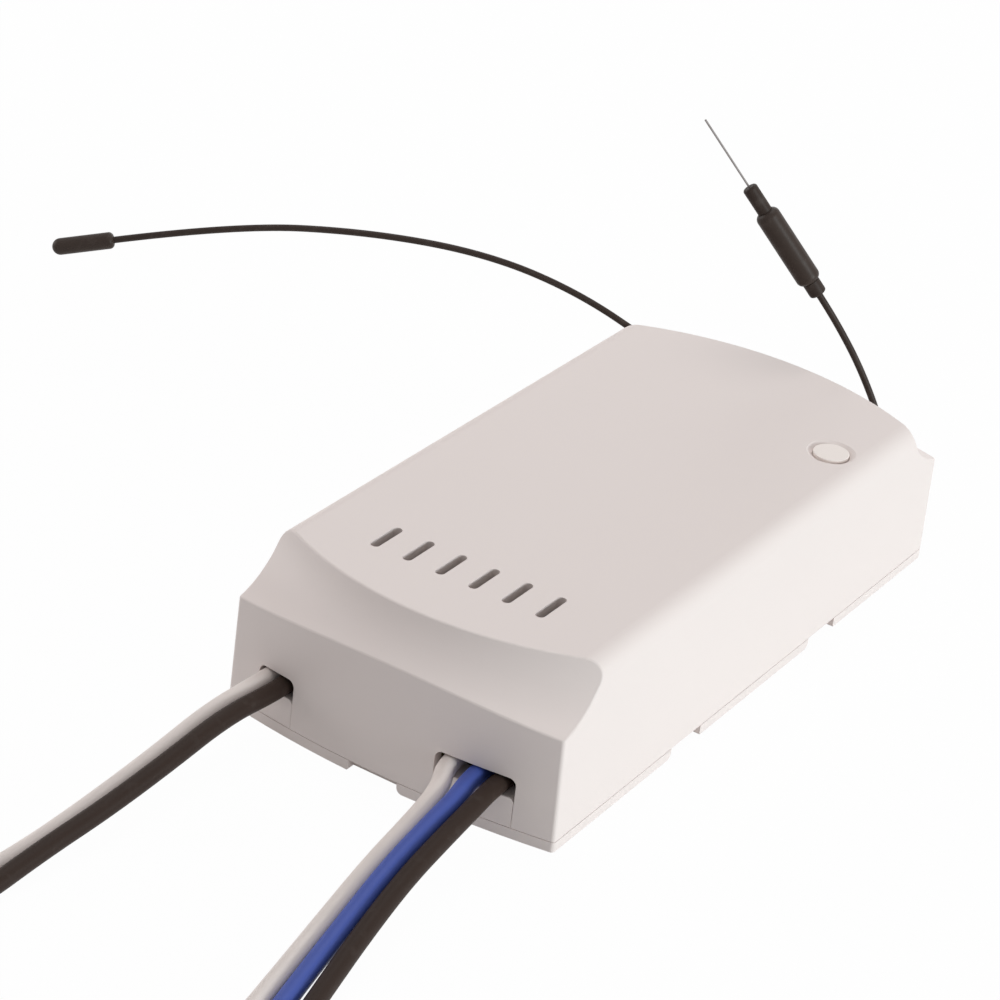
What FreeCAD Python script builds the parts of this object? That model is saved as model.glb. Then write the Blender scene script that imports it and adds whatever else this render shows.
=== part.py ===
import FreeCAD, Part
import math
import os
import Sketcher

# Smart ceiling fan controller: a low box with leads at the front end and two antennas at the rear.
# X runs across the case, Y from the lead end to the antenna end, Z up from the underside.
doc = FreeCAD.newDocument("FanController")
sheet = doc.addObject("Spreadsheet::Sheet", "Sizes")
V = FreeCAD.Vector
nodes = []


class Dim:
    """A length that carries its value and the expression that gives it."""

    def __init__(self, value, text=None):
        self.value = float(value)
        self.text = repr(float(value)) if text is None else text

    def __add__(self, other):
        return join(self, "+", other)

    def __radd__(self, other):
        return join(other, "+", self)

    def __sub__(self, other):
        return join(self, "-", other)

    def __rsub__(self, other):
        return join(other, "-", self)

    def __mul__(self, other):
        return join(self, "*", other)

    def __rmul__(self, other):
        return join(other, "*", self)

    def __truediv__(self, other):
        return join(self, "/", other)

    def __rtruediv__(self, other):
        return join(other, "/", self)

    def __neg__(self):
        return join(-1, "*", self)

    def __float__(self):
        return self.value


def dim(item):
    return item if isinstance(item, Dim) else Dim(item)


def join(left, sign, right):
    a = dim(left)
    b = dim(right)
    results = {
        "+": lambda: a.value + b.value,
        "-": lambda: a.value - b.value,
        "*": lambda: a.value * b.value,
        "/": lambda: a.value / b.value,
    }
    return Dim(results[sign](), f"({a.text} {sign} {b.text})")


def root(item):
    return Dim(math.sqrt(item.value), f"sqrt({item.text})")


def size(alias, value):
    """Put one driving size in the sheet."""
    size.row += 1
    sheet.set(f"A{size.row}", alias)
    sheet.set(f"B{size.row}", str(value))
    sheet.setAlias(f"B{size.row}", alias)
    return Dim(value, f"Sizes.{alias}")


size.row = 0

# The case
caseLength = size("caseLength", 116.0)
caseWidth = size("caseWidth", 55.5)
caseHeight = size("caseHeight", 26.0)
endBulge = size("endBulge", 2.6)
cornerRound = size("cornerRound", 0.6)
topEdgeRound = size("topEdgeRound", 3.0)
sideTaper = size("sideTaper", 0.67)
coverWall = size("coverWall", 1.8)
coverTop = size("coverTop", 1.8)
plateThick = size("plateThick", 1.7)
seamHeight = size("seamHeight", 0.1)
seamDepth = size("seamDepth", 0.15)
fitGap = size("fitGap", 0.15)

# The hollow scoop round each end of the top
topSetBack = size("topSetBack", 4.9)
scoopDrop = size("scoopDrop", 8.15)
scoopRadius = size("scoopRadius", 12.0)
rimRound = size("rimRound", 0.35)

# Vent slots
ventCount = 6
ventLength = size("ventLength", 6.9)
ventWidth = size("ventWidth", 1.5)
ventPitch = size("ventPitch", 5.55)
ventSetBack = size("ventSetBack", 18.8)
ventShift = size("ventShift", -0.3)

# Learning button, its dish and its switch
buttonSideGap = size("buttonSideGap", 7.45)
buttonEndGap = size("buttonEndGap", 27.6)
buttonRadius = size("buttonRadius", 2.82)
buttonRound = size("buttonRound", 0.15)
buttonGap = size("buttonGap", 0.1)
buttonTravel = size("buttonTravel", 0.3)
buttonRest = size("buttonRest", 0.02)
dishRadius = size("dishRadius", 3.85)
dishDepth = size("dishDepth", 0.55)
flangeReach = size("flangeReach", 0.5)
flangeThick = size("flangeThick", 1.0)
stemRadius = size("stemRadius", 1.5)
guideWall = size("guideWall", 1.0)
guideDrop = size("guideDrop", 6.0)
switchWidth = size("switchWidth", 6.0)
switchHeight = size("switchHeight", 3.5)
frameThick = size("frameThick", 0.3)
domeRadius = size("domeRadius", 1.7)
domeCrown = size("domeCrown", 0.5)
domeRise = size("domeRise", 0.25)
domeSeat = size("domeSeat", 0.75)
plungerRadius = size("plungerRadius", 1.72)
plungerRise = size("plungerRise", 0.8)
plungerGap = size("plungerGap", 0.06)
legReach = size("legReach", 0.7)
legWidth = size("legWidth", 0.7)
legThick = size("legThick", 0.25)
legPlace = size("legPlace", 2.25)

# Lead exits and tongues in the front wall
leadDiameter = size("leadDiameter", 2.8)
leadGap = size("leadGap", 0.06)
leadHeadroom = size("leadHeadroom", 0.25)
exitTop = size("exitTop", 9.45)
exitRound = size("exitRound", 1.1)
leftExitGap = size("leftExitGap", 8.95)
leftExitWidth = size("leftExitWidth", 6.5)
rightExitGap = size("rightExitGap", 12.68)
rightExitWidth = size("rightExitWidth", 12.4)
leftWhiteStep = size("leftWhiteStep", -1.65)
leftBlackStep = size("leftBlackStep", 1.25)
rightWhiteStep = size("rightWhiteStep", -4.4)
rightBlueStep = size("rightBlueStep", 0.03)
rightBlackStep = size("rightBlackStep", 3.53)
tongueRound = size("tongueRound", 0.9)
tongueGap = size("tongueGap", 0.03)
tongueEase = size("tongueEase", 0.1)

# Notches in the edge of the base plate, each with one sharp and one rounded lower corner
notchWidth = size("notchWidth", 8.3)
endNotchDepth = size("endNotchDepth", 1.75)
sideNotchDepth = size("sideNotchDepth", 1.4)
notchSharp = size("notchSharp", 0.2)
notchRound = size("notchRound", 1.0)
endNotchShift = size("endNotchShift", -0.7)
nearNotchShare = size("nearNotchShare", -0.341)
farNotchShare = size("farNotchShare", 0.369)

# Skirt and snap hooks of the base
skirtWall = size("skirtWall", 1.2)
skirtHeight = size("skirtHeight", 3.0)
hookLength = size("hookLength", 6.0)
hookReach = size("hookReach", 0.5)
hookHeight = size("hookHeight", 1.2)
hookLip = size("hookLip", 0.3)
catchGap = size("catchGap", 0.2)

# Main board, its posts and its screws
boardSideGap = size("boardSideGap", 0.55)
boardEndGap = size("boardEndGap", 1.25)
boardThick = size("boardThick", 1.6)
boardCorner = size("boardCorner", 1.0)
postHeight = size("postHeight", 2.2)
postRadius = size("postRadius", 2.5)
postInset = size("postInset", 3.0)
frontPostShare = size("frontPostShare", -0.638)
rearPostShare = size("rearPostShare", 0.802)
pilotRadius = size("pilotRadius", 0.85)
pilotDepth = size("pilotDepth", 3.0)
screwHeadRadius = size("screwHeadRadius", 1.9)
screwHeadHeight = size("screwHeadHeight", 1.4)
screwLength = size("screwLength", 4.4)
screwGap = size("screwGap", 0.05)
screwClearance = size("screwClearance", 0.3)
crossLength = size("crossLength", 2.2)
crossWidth = size("crossWidth", 0.5)
crossDepth = size("crossDepth", 0.8)
pinRadius = size("pinRadius", 0.35)
pinDrop = size("pinDrop", 1.0)
pinRise = size("pinRise", 0.4)
pinGap = size("pinGap", 0.08)

# Leads
coreDiameter = size("coreDiameter", 1.2)
jointInset = size("jointInset", 4.5)
insulationInset = size("insulationInset", 8.5)
padInset = size("padInset", 11.2)
coreBend = size("coreBend", 1.5)
strippedLength = size("strippedLength", 8.0)
floorGap = size("floorGap", 0.02)

# Antennas
cableDiameter = size("cableDiameter", 1.13)
cableGap = size("cableGap", 0.08)
antennaHeight = size("antennaHeight", 9.5)
radioHoleGap = size("radioHoleGap", 9.75)
wifiHoleShift = size("wifiHoleShift", 1.7)
capDiameter = size("capDiameter", 2.85)
capLength = size("capLength", 10.6)
capEase = size("capEase", 0.8)
tubeDiameter = size("tubeDiameter", 2.45)
tubeLength = size("tubeLength", 21.2)
collarDiameter = size("collarDiameter", 2.85)
sleeveDiameter = size("sleeveDiameter", 4.0)
sleeveStart = size("sleeveStart", 2.5)
sleeveLength = size("sleeveLength", 13.85)
sleeveGap = size("sleeveGap", 0.02)
sleeveShoulder = size("sleeveShoulder", 1.0)
sleeveLip = size("sleeveLip", 0.1)
rodDiameter = size("rodDiameter", 0.34)
rodLength = size("rodLength", 13.1)

# Parts on the board
relayCount = 4
relayWidth = size("relayWidth", 10.2)
relayLength = size("relayLength", 18.4)
relayHeight = size("relayHeight", 15.7)
relayGap = size("relayGap", 0.8)
relayPinInset = size("relayPinInset", 1.5)
speedCapLength = size("speedCapLength", 26.5)
speedCapWidth = size("speedCapWidth", 10.5)
speedCapGap = size("speedCapGap", 1.0)
speedCapHeadroom = size("speedCapHeadroom", 1.7)
speedCapPinInset = size("speedCapPinInset", 2.0)
lineCapLength = size("lineCapLength", 13.0)
lineCapWidth = size("lineCapWidth", 6.0)
lineCapHeight = size("lineCapHeight", 11.0)
lineCapPinInset = size("lineCapPinInset", 1.5)
varistorRadius = size("varistorRadius", 3.6)
varistorThick = size("varistorThick", 3.4)
varistorLift = size("varistorLift", 0.8)
varistorFoot = size("varistorFoot", 1.4)
varistorPinStep = size("varistorPinStep", 1.2)
fuseRadius = size("fuseRadius", 1.8)
fuseLength = size("fuseLength", 9.5)
fusePinInset = size("fusePinInset", 0.8)
coreWidth = size("coreWidth", 13.2)
coreDepth = size("coreDepth", 6.0)
coreHeight = size("coreHeight", 12.5)
coreLift = size("coreLift", 1.0)
coreFoot = size("coreFoot", 1.5)
corePost = size("corePost", 3.0)
windingWidth = size("windingWidth", 8.0)
windingDepth = size("windingDepth", 11.5)
windingHeight = size("windingHeight", 8.5)
windingGap = size("windingGap", 0.1)
bobbinEar = size("bobbinEar", 3.0)
bobbinPinX = size("bobbinPinX", 2.5)
bobbinPinInset = size("bobbinPinInset", 1.0)
bulkCapRadius = size("bulkCapRadius", 4.0)
bulkCapHeight = size("bulkCapHeight", 12.5)
outputCapRadius = size("outputCapRadius", 3.15)
outputCapHeight = size("outputCapHeight", 7.0)
canPinStep = size("canPinStep", 1.25)
chokeRadius = size("chokeRadius", 3.0)
chokeHeight = size("chokeHeight", 8.0)
bridgeWidth = size("bridgeWidth", 6.2)
bridgeLength = size("bridgeLength", 8.2)
bridgeHeight = size("bridgeHeight", 3.0)
buzzerRadius = size("buzzerRadius", 4.75)
buzzerHeight = size("buzzerHeight", 5.5)
buzzerPort = size("buzzerPort", 1.0)
buzzerPinStep = size("buzzerPinStep", 2.8)
driverLength = size("driverLength", 10.0)
driverWidth = size("driverWidth", 4.0)
driverGap = size("driverGap", 1.5)
driverShare = size("driverShare", 0.421)
regulatorLength = size("regulatorLength", 6.5)
regulatorWidth = size("regulatorWidth", 3.5)
chipHeight = size("chipHeight", 1.6)
ledLength = size("ledLength", 3.2)
ledWidth = size("ledWidth", 1.6)
ledHeight = size("ledHeight", 1.0)
ledGap = size("ledGap", 1.4)
moduleLength = size("moduleLength", 24.0)
moduleWidth = size("moduleWidth", 16.0)
moduleThick = size("moduleThick", 0.8)
moduleGap = size("moduleGap", 1.3)
moduleShare = size("moduleShare", 0.569)
shieldLength = size("shieldLength", 15.0)
shieldWidth = size("shieldWidth", 12.4)
shieldHeight = size("shieldHeight", 2.3)
shieldInset = size("shieldInset", 1.1)
socketWidth = size("socketWidth", 2.6)
socketHeight = size("socketHeight", 1.2)
socketSideInset = size("socketSideInset", 3.0)
socketEndInset = size("socketEndInset", 2.4)
plugRadius = size("plugRadius", 1.3)
plugHeight = size("plugHeight", 1.1)
barrelRadius = size("barrelRadius", 0.54)
barrelLength = size("barrelLength", 3.4)
receiverLength = size("receiverLength", 16.0)
receiverWidth = size("receiverWidth", 13.0)
receiverThick = size("receiverThick", 1.0)
receiverShift = size("receiverShift", 5.0)
receiverShare = size("receiverShare", 0.638)
headerLength = size("headerLength", 10.2)
headerWidth = size("headerWidth", 2.2)
headerHeight = size("headerHeight", 2.0)
headerInset = size("headerInset", 0.4)
headerPitch = size("headerPitch", 2.54)
receiverChipLength = size("receiverChipLength", 5.0)
receiverChipWidth = size("receiverChipWidth", 4.0)
receiverChipHeight = size("receiverChipHeight", 1.4)
receiverChipShift = size("receiverChipShift", -1.5)
crystalLength = size("crystalLength", 3.2)
crystalWidth = size("crystalWidth", 2.5)
crystalHeight = size("crystalHeight", 0.8)
crystalShift = size("crystalShift", 3.8)
cableInset = size("cableInset", 2.2)
solderLength = size("solderLength", 1.8)
solderWidth = size("solderWidth", 1.4)
solderHeight = size("solderHeight", 1.3)
jointHeight = size("jointHeight", 1.0)

# Places of the parts on the board, as shares of the case's half width and half length
places = {
    "relays": (0, -0.414),
    "speed_capacitors": (-0.345, -0.022),
    "safety_capacitor": (0.109, -0.724),
    "varistor": (-0.24, -0.724),
    "fuse": (-0.458, -0.724),
    "transformer": (0.545, -0.095),
    "bulk_capacitor": (0.364, 0.124),
    "left_output_capacitor": (-0.124, 0.276),
    "right_output_capacitor": (0.167, 0.276),
    "choke": (0.676, 0.236),
    "bridge_rectifier": (0.698, 0.098),
    "buzzer": (-0.567, 0.297),
    "voltage_regulator": (0.436, 0.3),
}

# Sizes that follow from the ones above
halfWidth = caseWidth / 2
halfLength = caseLength / 2
bulgeRadius = (halfWidth * halfWidth + endBulge * endBulge) / (2 * endBulge)
bulgeCentre = halfLength - bulgeRadius
cornerY = halfLength - endBulge
cornerReach = root(halfWidth * halfWidth + cornerY * cornerY)
topFaceRadius = halfLength - topSetBack
endWallHeight = caseHeight - scoopDrop
boardBottom = plateThick + postHeight
boardTop = boardBottom + boardThick
ceiling = caseHeight - coverTop
ventPlace = ventSetBack - halfLength
buttonX = halfWidth - buttonSideGap
buttonY = halfLength - buttonEndGap
holeRadius = buttonRadius + buttonGap
flangeRadius = buttonRadius + flangeReach
guideBore = flangeRadius + buttonGap
flangeTop = ceiling - buttonGap
switchTop = boardTop + switchHeight
plungerTop = switchTop + plungerRise
leadRadius = leadDiameter / 2
leadAxis = exitTop - leadHeadroom - leadRadius
tongueTop = leadAxis - leadRadius - leadGap
leftExitPlace = leftExitGap - halfWidth
rightExitPlace = halfWidth - rightExitGap
leadJoint = jointInset - halfLength
insulationEnd = insulationInset - halfLength
padPlace = padInset - halfLength
nearNotch = halfLength * nearNotchShare
farNotch = halfLength * farNotchShare
skirtInset = coverWall + fitGap
skirtTop = plateThick + skirtHeight
boardWidth = caseWidth - 2 * (skirtInset + skirtWall + boardSideGap)
boardLength = caseLength - 2 * (endBulge + skirtInset + skirtWall + boardEndGap)
postX = boardWidth / 2 - postInset
pinHole = pinRadius + pinGap


# Building blocks
def bind(item, **places):
    """Tie properties to expressions, with __ in a name standing for a dot."""
    for name, value in places.items():
        item.setExpression(name.replace("__", "."), dim(value).text)


def named(item, label):
    item.Label = label
    nodes.append(item)
    return item


def box(name, x, y, z, width, depth, height):
    """A block centred on x and y that stands on z."""
    item = doc.addObject("Part::Box", name)
    bind(item, Length=width, Width=depth, Height=height)
    bind(item, Placement__Base__x=x - width / 2, Placement__Base__y=y - depth / 2, Placement__Base__z=z)
    return item


def rod(name, x, y, z, radius, height, along="Z"):
    """A round bar that starts at a point and runs along one axis."""
    item = doc.addObject("Part::Cylinder", name)
    bind(item, Radius=radius, Height=height)
    turns = {"X": (V(0, 1, 0), 90), "Y": (V(1, 0, 0), -90), "Z": (V(0, 0, 1), 0)}
    item.Placement = FreeCAD.Placement(V(0, 0, 0), FreeCAD.Rotation(*turns[along]))
    bind(item, Placement__Base__x=x, Placement__Base__y=y, Placement__Base__z=z)
    return item


def cone(name, x, y, z, low, high, height):
    item = doc.addObject("Part::Cone", name)
    bind(item, Radius1=low, Radius2=high, Height=height)
    bind(item, Placement__Base__x=x, Placement__Base__y=y, Placement__Base__z=z)
    return item


def fuse(name, parts):
    item = doc.addObject("Part::MultiFuse", name)
    item.Shapes = parts
    return item


def cut(name, base, tool):
    item = doc.addObject("Part::Cut", name)
    item.Base = base
    item.Tool = tool
    return item


def group(label, parts):
    """Several alike pieces that share one node."""
    item = doc.addObject("Part::Compound", label)
    item.Links = parts
    return named(item, label)


def newBody(name):
    return doc.addObject("PartDesign::Body", name)


def sketchOn(body, name, role, lift=0):
    """A sketch on one of the body's own planes, lifted along the plane's normal."""
    sketch = body.newObject("Sketcher::SketchObject", name)
    plane = [item for item in body.Origin.OriginFeatures if item.Role == role][0]
    sketch.AttachmentSupport = (plane, [""])
    sketch.MapMode = "FlatFace"
    bind(sketch, AttachmentOffset__Base__z=lift)
    return sketch


def fix(sketch, kind, edge, end, value):
    """Fix one end of an edge along one axis."""
    value = dim(value)
    if value.value == 0:
        axis = -2 if kind == "DistanceX" else -1
        sketch.addConstraint(Sketcher.Constraint("PointOnObject", edge, end, axis))
        return
    index = sketch.addConstraint(Sketcher.Constraint(kind, edge, end, value.value))
    sketch.setExpression(f"Constraints[{index}]", value.text)


def hold(sketch, edge, end, place):
    fix(sketch, "DistanceX", edge, end, place[0])
    fix(sketch, "DistanceY", edge, end, place[1])


def loop(sketch, corners, arcs=None):
    """A closed outline; arcs maps an edge to its centre, radius and turn, 1 for anticlockwise."""
    arcs = arcs or {}
    count = len(corners)
    ends = []
    for i in range(count):
        start = V(float(corners[i][0]), float(corners[i][1]), 0)
        stop = V(float(corners[(i + 1) % count][0]), float(corners[(i + 1) % count][1]), 0)
        if i not in arcs:
            ends.append((sketch.addGeometry(Part.LineSegment(start, stop)), 1, 2))
            continue
        centre, radius, turn = arcs[i]
        middle = V(float(centre[0]), float(centre[1]), 0)
        first, last = (start, stop) if turn > 0 else (stop, start)
        angles = [math.atan2(point.y - middle.y, point.x - middle.x) for point in (first, last)]
        circle = Part.Circle(middle, V(0, 0, 1), float(radius))
        edge = sketch.addGeometry(Part.ArcOfCircle(circle, *angles))
        ends.append((edge, 1, 2) if turn > 0 else (edge, 2, 1))
    for i in range(count):
        edge, first, last = ends[i]
        after, start, _ = ends[(i + 1) % count]
        sketch.addConstraint(Sketcher.Constraint("Coincident", edge, last, after, start))
        hold(sketch, edge, first, corners[i])
        if i in arcs:
            here, there = corners[i], corners[(i + 1) % count]
            level = abs(float(here[0]) - float(there[0])) > abs(float(here[1]) - float(there[1]))
            kind, part = ("DistanceY", 1) if level else ("DistanceX", 0)
            fix(sketch, kind, edge, 3, arcs[i][0][part])


def ring(sketch, place, radius):
    """One full circle."""
    radius = dim(radius)
    circle = Part.Circle(V(float(place[0]), float(place[1]), 0), V(0, 0, 1), radius.value)
    edge = sketch.addGeometry(circle)
    hold(sketch, edge, 3, place)
    index = sketch.addConstraint(Sketcher.Constraint("Radius", edge, radius.value))
    sketch.setExpression(f"Constraints[{index}]", radius.text)


def rectangle(sketch, left, right, low, high):
    loop(sketch, [(left, low), (right, low), (right, high), (left, high)])


def plan(sketch, inset):
    """The case seen from above, drawn in by a distance: straight sides and bowed ends."""
    side = halfWidth - inset
    radius = bulgeRadius - inset
    reach = bulgeCentre + root(radius * radius - side * side)
    corners = [(side, -reach), (side, reach), (-side, reach), (-side, -reach)]
    loop(sketch, corners, {1: ((0, bulgeCentre), radius, 1), 3: ((0, -bulgeCentre), radius, 1)})


def pad(body, name, sketch, length, both=False):
    feature = body.newObject("PartDesign::Pad", name)
    feature.Profile = sketch
    feature.Midplane = both
    bind(feature, Length=length)
    return feature


def pocket(body, name, sketch, length, up=False, both=False):
    feature = body.newObject("PartDesign::Pocket", name)
    feature.Profile = sketch
    feature.Reversed = up
    feature.Midplane = both
    bind(feature, Length=length)
    return feature


def spin(body, name, sketch, kind="Revolution"):
    feature = body.newObject(f"PartDesign::{kind}", name)
    feature.Profile = sketch
    feature.ReferenceAxis = (sketch, ["V_Axis"])
    feature.Angle = 360
    return feature


def roundEdges(body, name, base, radius, chosen):
    """Round the edges of a feature that a test picks out."""
    doc.recompute()
    edges = [f"Edge{i + 1}" for i, edge in enumerate(base.Shape.Edges) if chosen(edge)]
    feature = body.newObject("PartDesign::Fillet", name)
    feature.Base = (base, edges)
    bind(feature, Radius=radius)
    return feature


def turned(label, corners, arcs=None, start=V(0, 0, 0), along=V(0, 0, 1)):
    """A piece turned on a lathe about its own Z axis, then pointed along a direction."""
    body = newBody(label)
    sketch = sketchOn(body, f"{label}Profile", "XZ_Plane")
    loop(sketch, corners, arcs)
    spin(body, f"{label}Turning", sketch)
    body.Placement = FreeCAD.Placement(start, FreeCAD.Rotation(V(0, 0, 1), along))
    return named(body, label)


# Scoop round the ends of the top: a ring with a hollow curve, cut away about the vertical axis
def scoopCurve(depth):
    """Ends and centre of the hollow curve, moved into the wall by a depth."""
    rise = caseHeight - endWallHeight
    run = cornerReach - topFaceRadius
    span = root(rise * rise + run * run)
    out = root(scoopRadius * scoopRadius - span * span / 4)
    centreR = (topFaceRadius + cornerReach) / 2 + out * rise / span
    centreZ = (caseHeight + endWallHeight) / 2 + out * run / span
    radius = scoopRadius + depth
    top = caseHeight - centreZ
    upper = centreR - root(radius * radius - top * top)
    side = cornerReach - centreR
    lower = centreZ - root(radius * radius - side * side)
    return (upper, caseHeight), (cornerReach, lower), (centreR, centreZ), radius


def scoop(body, name, depth):
    sketch = sketchOn(body, f"{name}Profile", "XZ_Plane")
    upper, lower, centre, radius = scoopCurve(depth)
    outer = cornerReach + 5
    over = caseHeight + 5
    corners = [upper, lower, (outer, lower[1]), (outer, over), (upper[0], over)]
    loop(sketch, corners, {0: (centre, radius, 1)})
    return spin(body, name, sketch, "Groove")


def upright(edge):
    """Edges that stand up straight, or lean no more than the tapered sides do."""
    ends = [vertex.Point for vertex in edge.Vertexes]
    if len(ends) != 2:
        return False
    step = ends[1] - ends[0]
    return abs(step.z) > 1 and math.hypot(step.x, step.y) < abs(step.z) / 10


def longTopEdge(edge):
    box = edge.BoundBox
    return box.YLength > float(caseLength) / 2 and abs(box.ZMin - float(caseHeight)) < 1e-4


def leanSides(body, name, side, low, high):
    """Cut both side faces of a block to lean inwards from one height to another."""
    slope = sideTaper / (caseHeight - plateThick)
    sketch = sketchOn(body, f"{name}Outline", "XZ_Plane")
    over = high + 1
    for way in (-1, 1):
        outer = way * (side + 1)
        corners = [(way * side, low), (outer, low), (outer, over), (way * (side - slope * (over - low)), over)]
        loop(sketch, corners[::way])
    pocket(body, name, sketch, 2 * caseLength, both=True)


# Core that hollows the cover
def coverCore():
    body = newBody("CoverCore")
    sketch = sketchOn(body, "CorePlan", "XY_Plane", plateThick)
    plan(sketch, coverWall)
    pad(body, "CoreBlock", sketch, ceiling - plateThick)
    leanSides(body, "CoreTaper", halfWidth - coverWall, skirtTop, ceiling)
    scoop(body, "CoreScoop", coverWall)
    return body


exits = [(leftExitPlace, leftExitWidth), (rightExitPlace, rightExitWidth)]
frontFace = halfLength + 1


def archOutline(sketch, place, width, low, high, radius):
    """An upright opening or tongue with two rounded upper corners."""
    left = place - width / 2
    right = place + width / 2
    corners = [
        (left, low),
        (right, low),
        (right, high - radius),
        (right - radius, high),
        (left + radius, high),
        (left, high - radius),
    ]
    arcs = {
        2: ((right - radius, high - radius), radius, 1),
        4: ((left + radius, high - radius), radius, 1),
    }
    loop(sketch, corners, arcs)


def rimEdge(edge):
    """Edges of the scoops, but not the straight edges of walls and top."""
    box = edge.BoundBox
    high = box.ZMax > float(endWallHeight) - 0.6
    return high and box.YLength < float(caseLength) / 3 and not upright(edge) and box.XLength > 1


def atExit(edge):
    """Edges round a lead exit or a tongue in the outer face of the front wall."""
    box = edge.BoundBox
    front = box.YMax < -float(cornerY) - 0.05 and box.YLength < 1
    level = box.ZMin > float(plateThick) - 0.01 and box.ZMax < float(exitTop) + 0.01
    beside = any(abs((box.XMin + box.XMax) / 2 - float(place)) < float(width) / 2 + 0.1 for place, width in exits)
    return front and level and beside and (box.ZLength > 0.5 or box.ZMin > float(plateThick) + 1)


def makeTopCover():
    core = coverCore()
    body = newBody("TopCover")
    sketch = sketchOn(body, "CoverPlan", "XY_Plane", plateThick)
    plan(sketch, 0)
    pad(body, "CoverBlock", sketch, caseHeight - plateThick)
    leanSides(body, "SideTaper", halfWidth, plateThick, caseHeight)
    roundEdges(body, "TopEdges", body.Tip, topEdgeRound, longTopEdge)
    scoop(body, "EndScoops", 0)
    doc.recompute()
    corners = roundEdges(body, "CornerEdges", body.Tip, cornerRound, upright)
    doc.recompute()
    roundEdges(body, "RimEdges", corners, rimRound, rimEdge)
    hollow = body.newObject("PartDesign::Boolean", "Hollow")
    hollow.setObjects([core])
    hollow.Type = "Cut"
    # Vent slots
    sketch = sketchOn(body, "VentOutlines", "XY_Plane", caseHeight)
    for i in range(ventCount):
        place = ventShift + (i - (ventCount - 1) / 2) * ventPitch
        half = ventWidth / 2
        low = ventPlace - ventLength / 2 + half
        high = ventPlace + ventLength / 2 - half
        corners = [(place + half, low), (place + half, high), (place - half, high), (place - half, low)]
        loop(sketch, corners, {1: ((place, high), half, 1), 3: ((place, low), half, 1)})
    pocket(body, "VentSlots", sketch, coverTop + 0.5)
    # Guide tube, dish and hole for the button
    sketch = sketchOn(body, "GuideOutline", "XY_Plane", ceiling - guideDrop)
    ring(sketch, (buttonX, buttonY), guideBore + guideWall)
    ring(sketch, (buttonX, buttonY), guideBore)
    pad(body, "GuideTube", sketch, guideDrop)
    sketch = sketchOn(body, "HoleOutline", "XY_Plane", caseHeight)
    ring(sketch, (buttonX, buttonY), holeRadius)
    pocket(body, "ButtonHole", sketch, coverTop + 0.2)
    dish = sketchOn(body, "DishProfile", "XZ_Plane", -buttonY)
    low = caseHeight - dishDepth
    corners = [(buttonX, low), (buttonX + holeRadius, low), (buttonX + dishRadius, caseHeight), (buttonX, caseHeight)]
    loop(dish, corners)
    feature = body.newObject("PartDesign::Groove", "ButtonDish")
    feature.Profile = dish
    feature.ReferenceAxis = (dish, ["Edge4"])
    feature.Angle = 360
    # Lead exits, open at the bottom
    for place, width in exits:
        sketch = sketchOn(body, "ExitOutline", "XZ_Plane", frontFace)
        archOutline(sketch, place, width, plateThick - 1, exitTop, exitRound)
        pocket(body, "LeadExit", sketch, 8)
    doc.recompute()
    roundEdges(body, "ExitEdges", body.Tip, tongueEase, atExit)
    # Antenna holes in the rear wall
    sketch = sketchOn(body, "AntennaHoles", "XZ_Plane", -frontFace)
    for place in (radioHoleX, wifiHoleX):
        ring(sketch, (place, antennaHeight), cableDiameter / 2 + cableGap)
    pocket(body, "AntennaPassages", sketch, 6, up=True)
    # Pockets that the snap hooks catch in
    for side in (-1, 1):
        for place in (nearNotch, farNotch):
            sketch = sketchOn(body, "CatchOutline", "XZ_Plane", -place)
            inner = halfWidth - coverWall - 2 * catchGap
            outer = halfWidth - coverWall + hookReach
            low = skirtTop - hookHeight - catchGap
            rectangle(sketch, *sorted((side * inner, side * outer), key=float), low, skirtTop + catchGap)
            pocket(body, "HookCatch", sketch, hookLength + 2 * catchGap, both=True)
    return named(body, "top_cover")


def notchOutline(sketch, place, nearRound, farRound):
    """A notch through the height of the plate, whose two lower corners are rounded away."""
    near = place - notchWidth / 2
    far = place + notchWidth / 2
    corners = [
        (near - nearRound, -1),
        (far + farRound, -1),
        (far + farRound, 0),
        (far, farRound),
        (far, plateThick + 0.5),
        (near, plateThick + 0.5),
        (near, nearRound),
        (near - nearRound, 0),
    ]
    arcs = {
        2: ((far + farRound, farRound), farRound, -1),
        6: ((near - nearRound, nearRound), nearRound, -1),
    }
    loop(sketch, corners, arcs)


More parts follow.
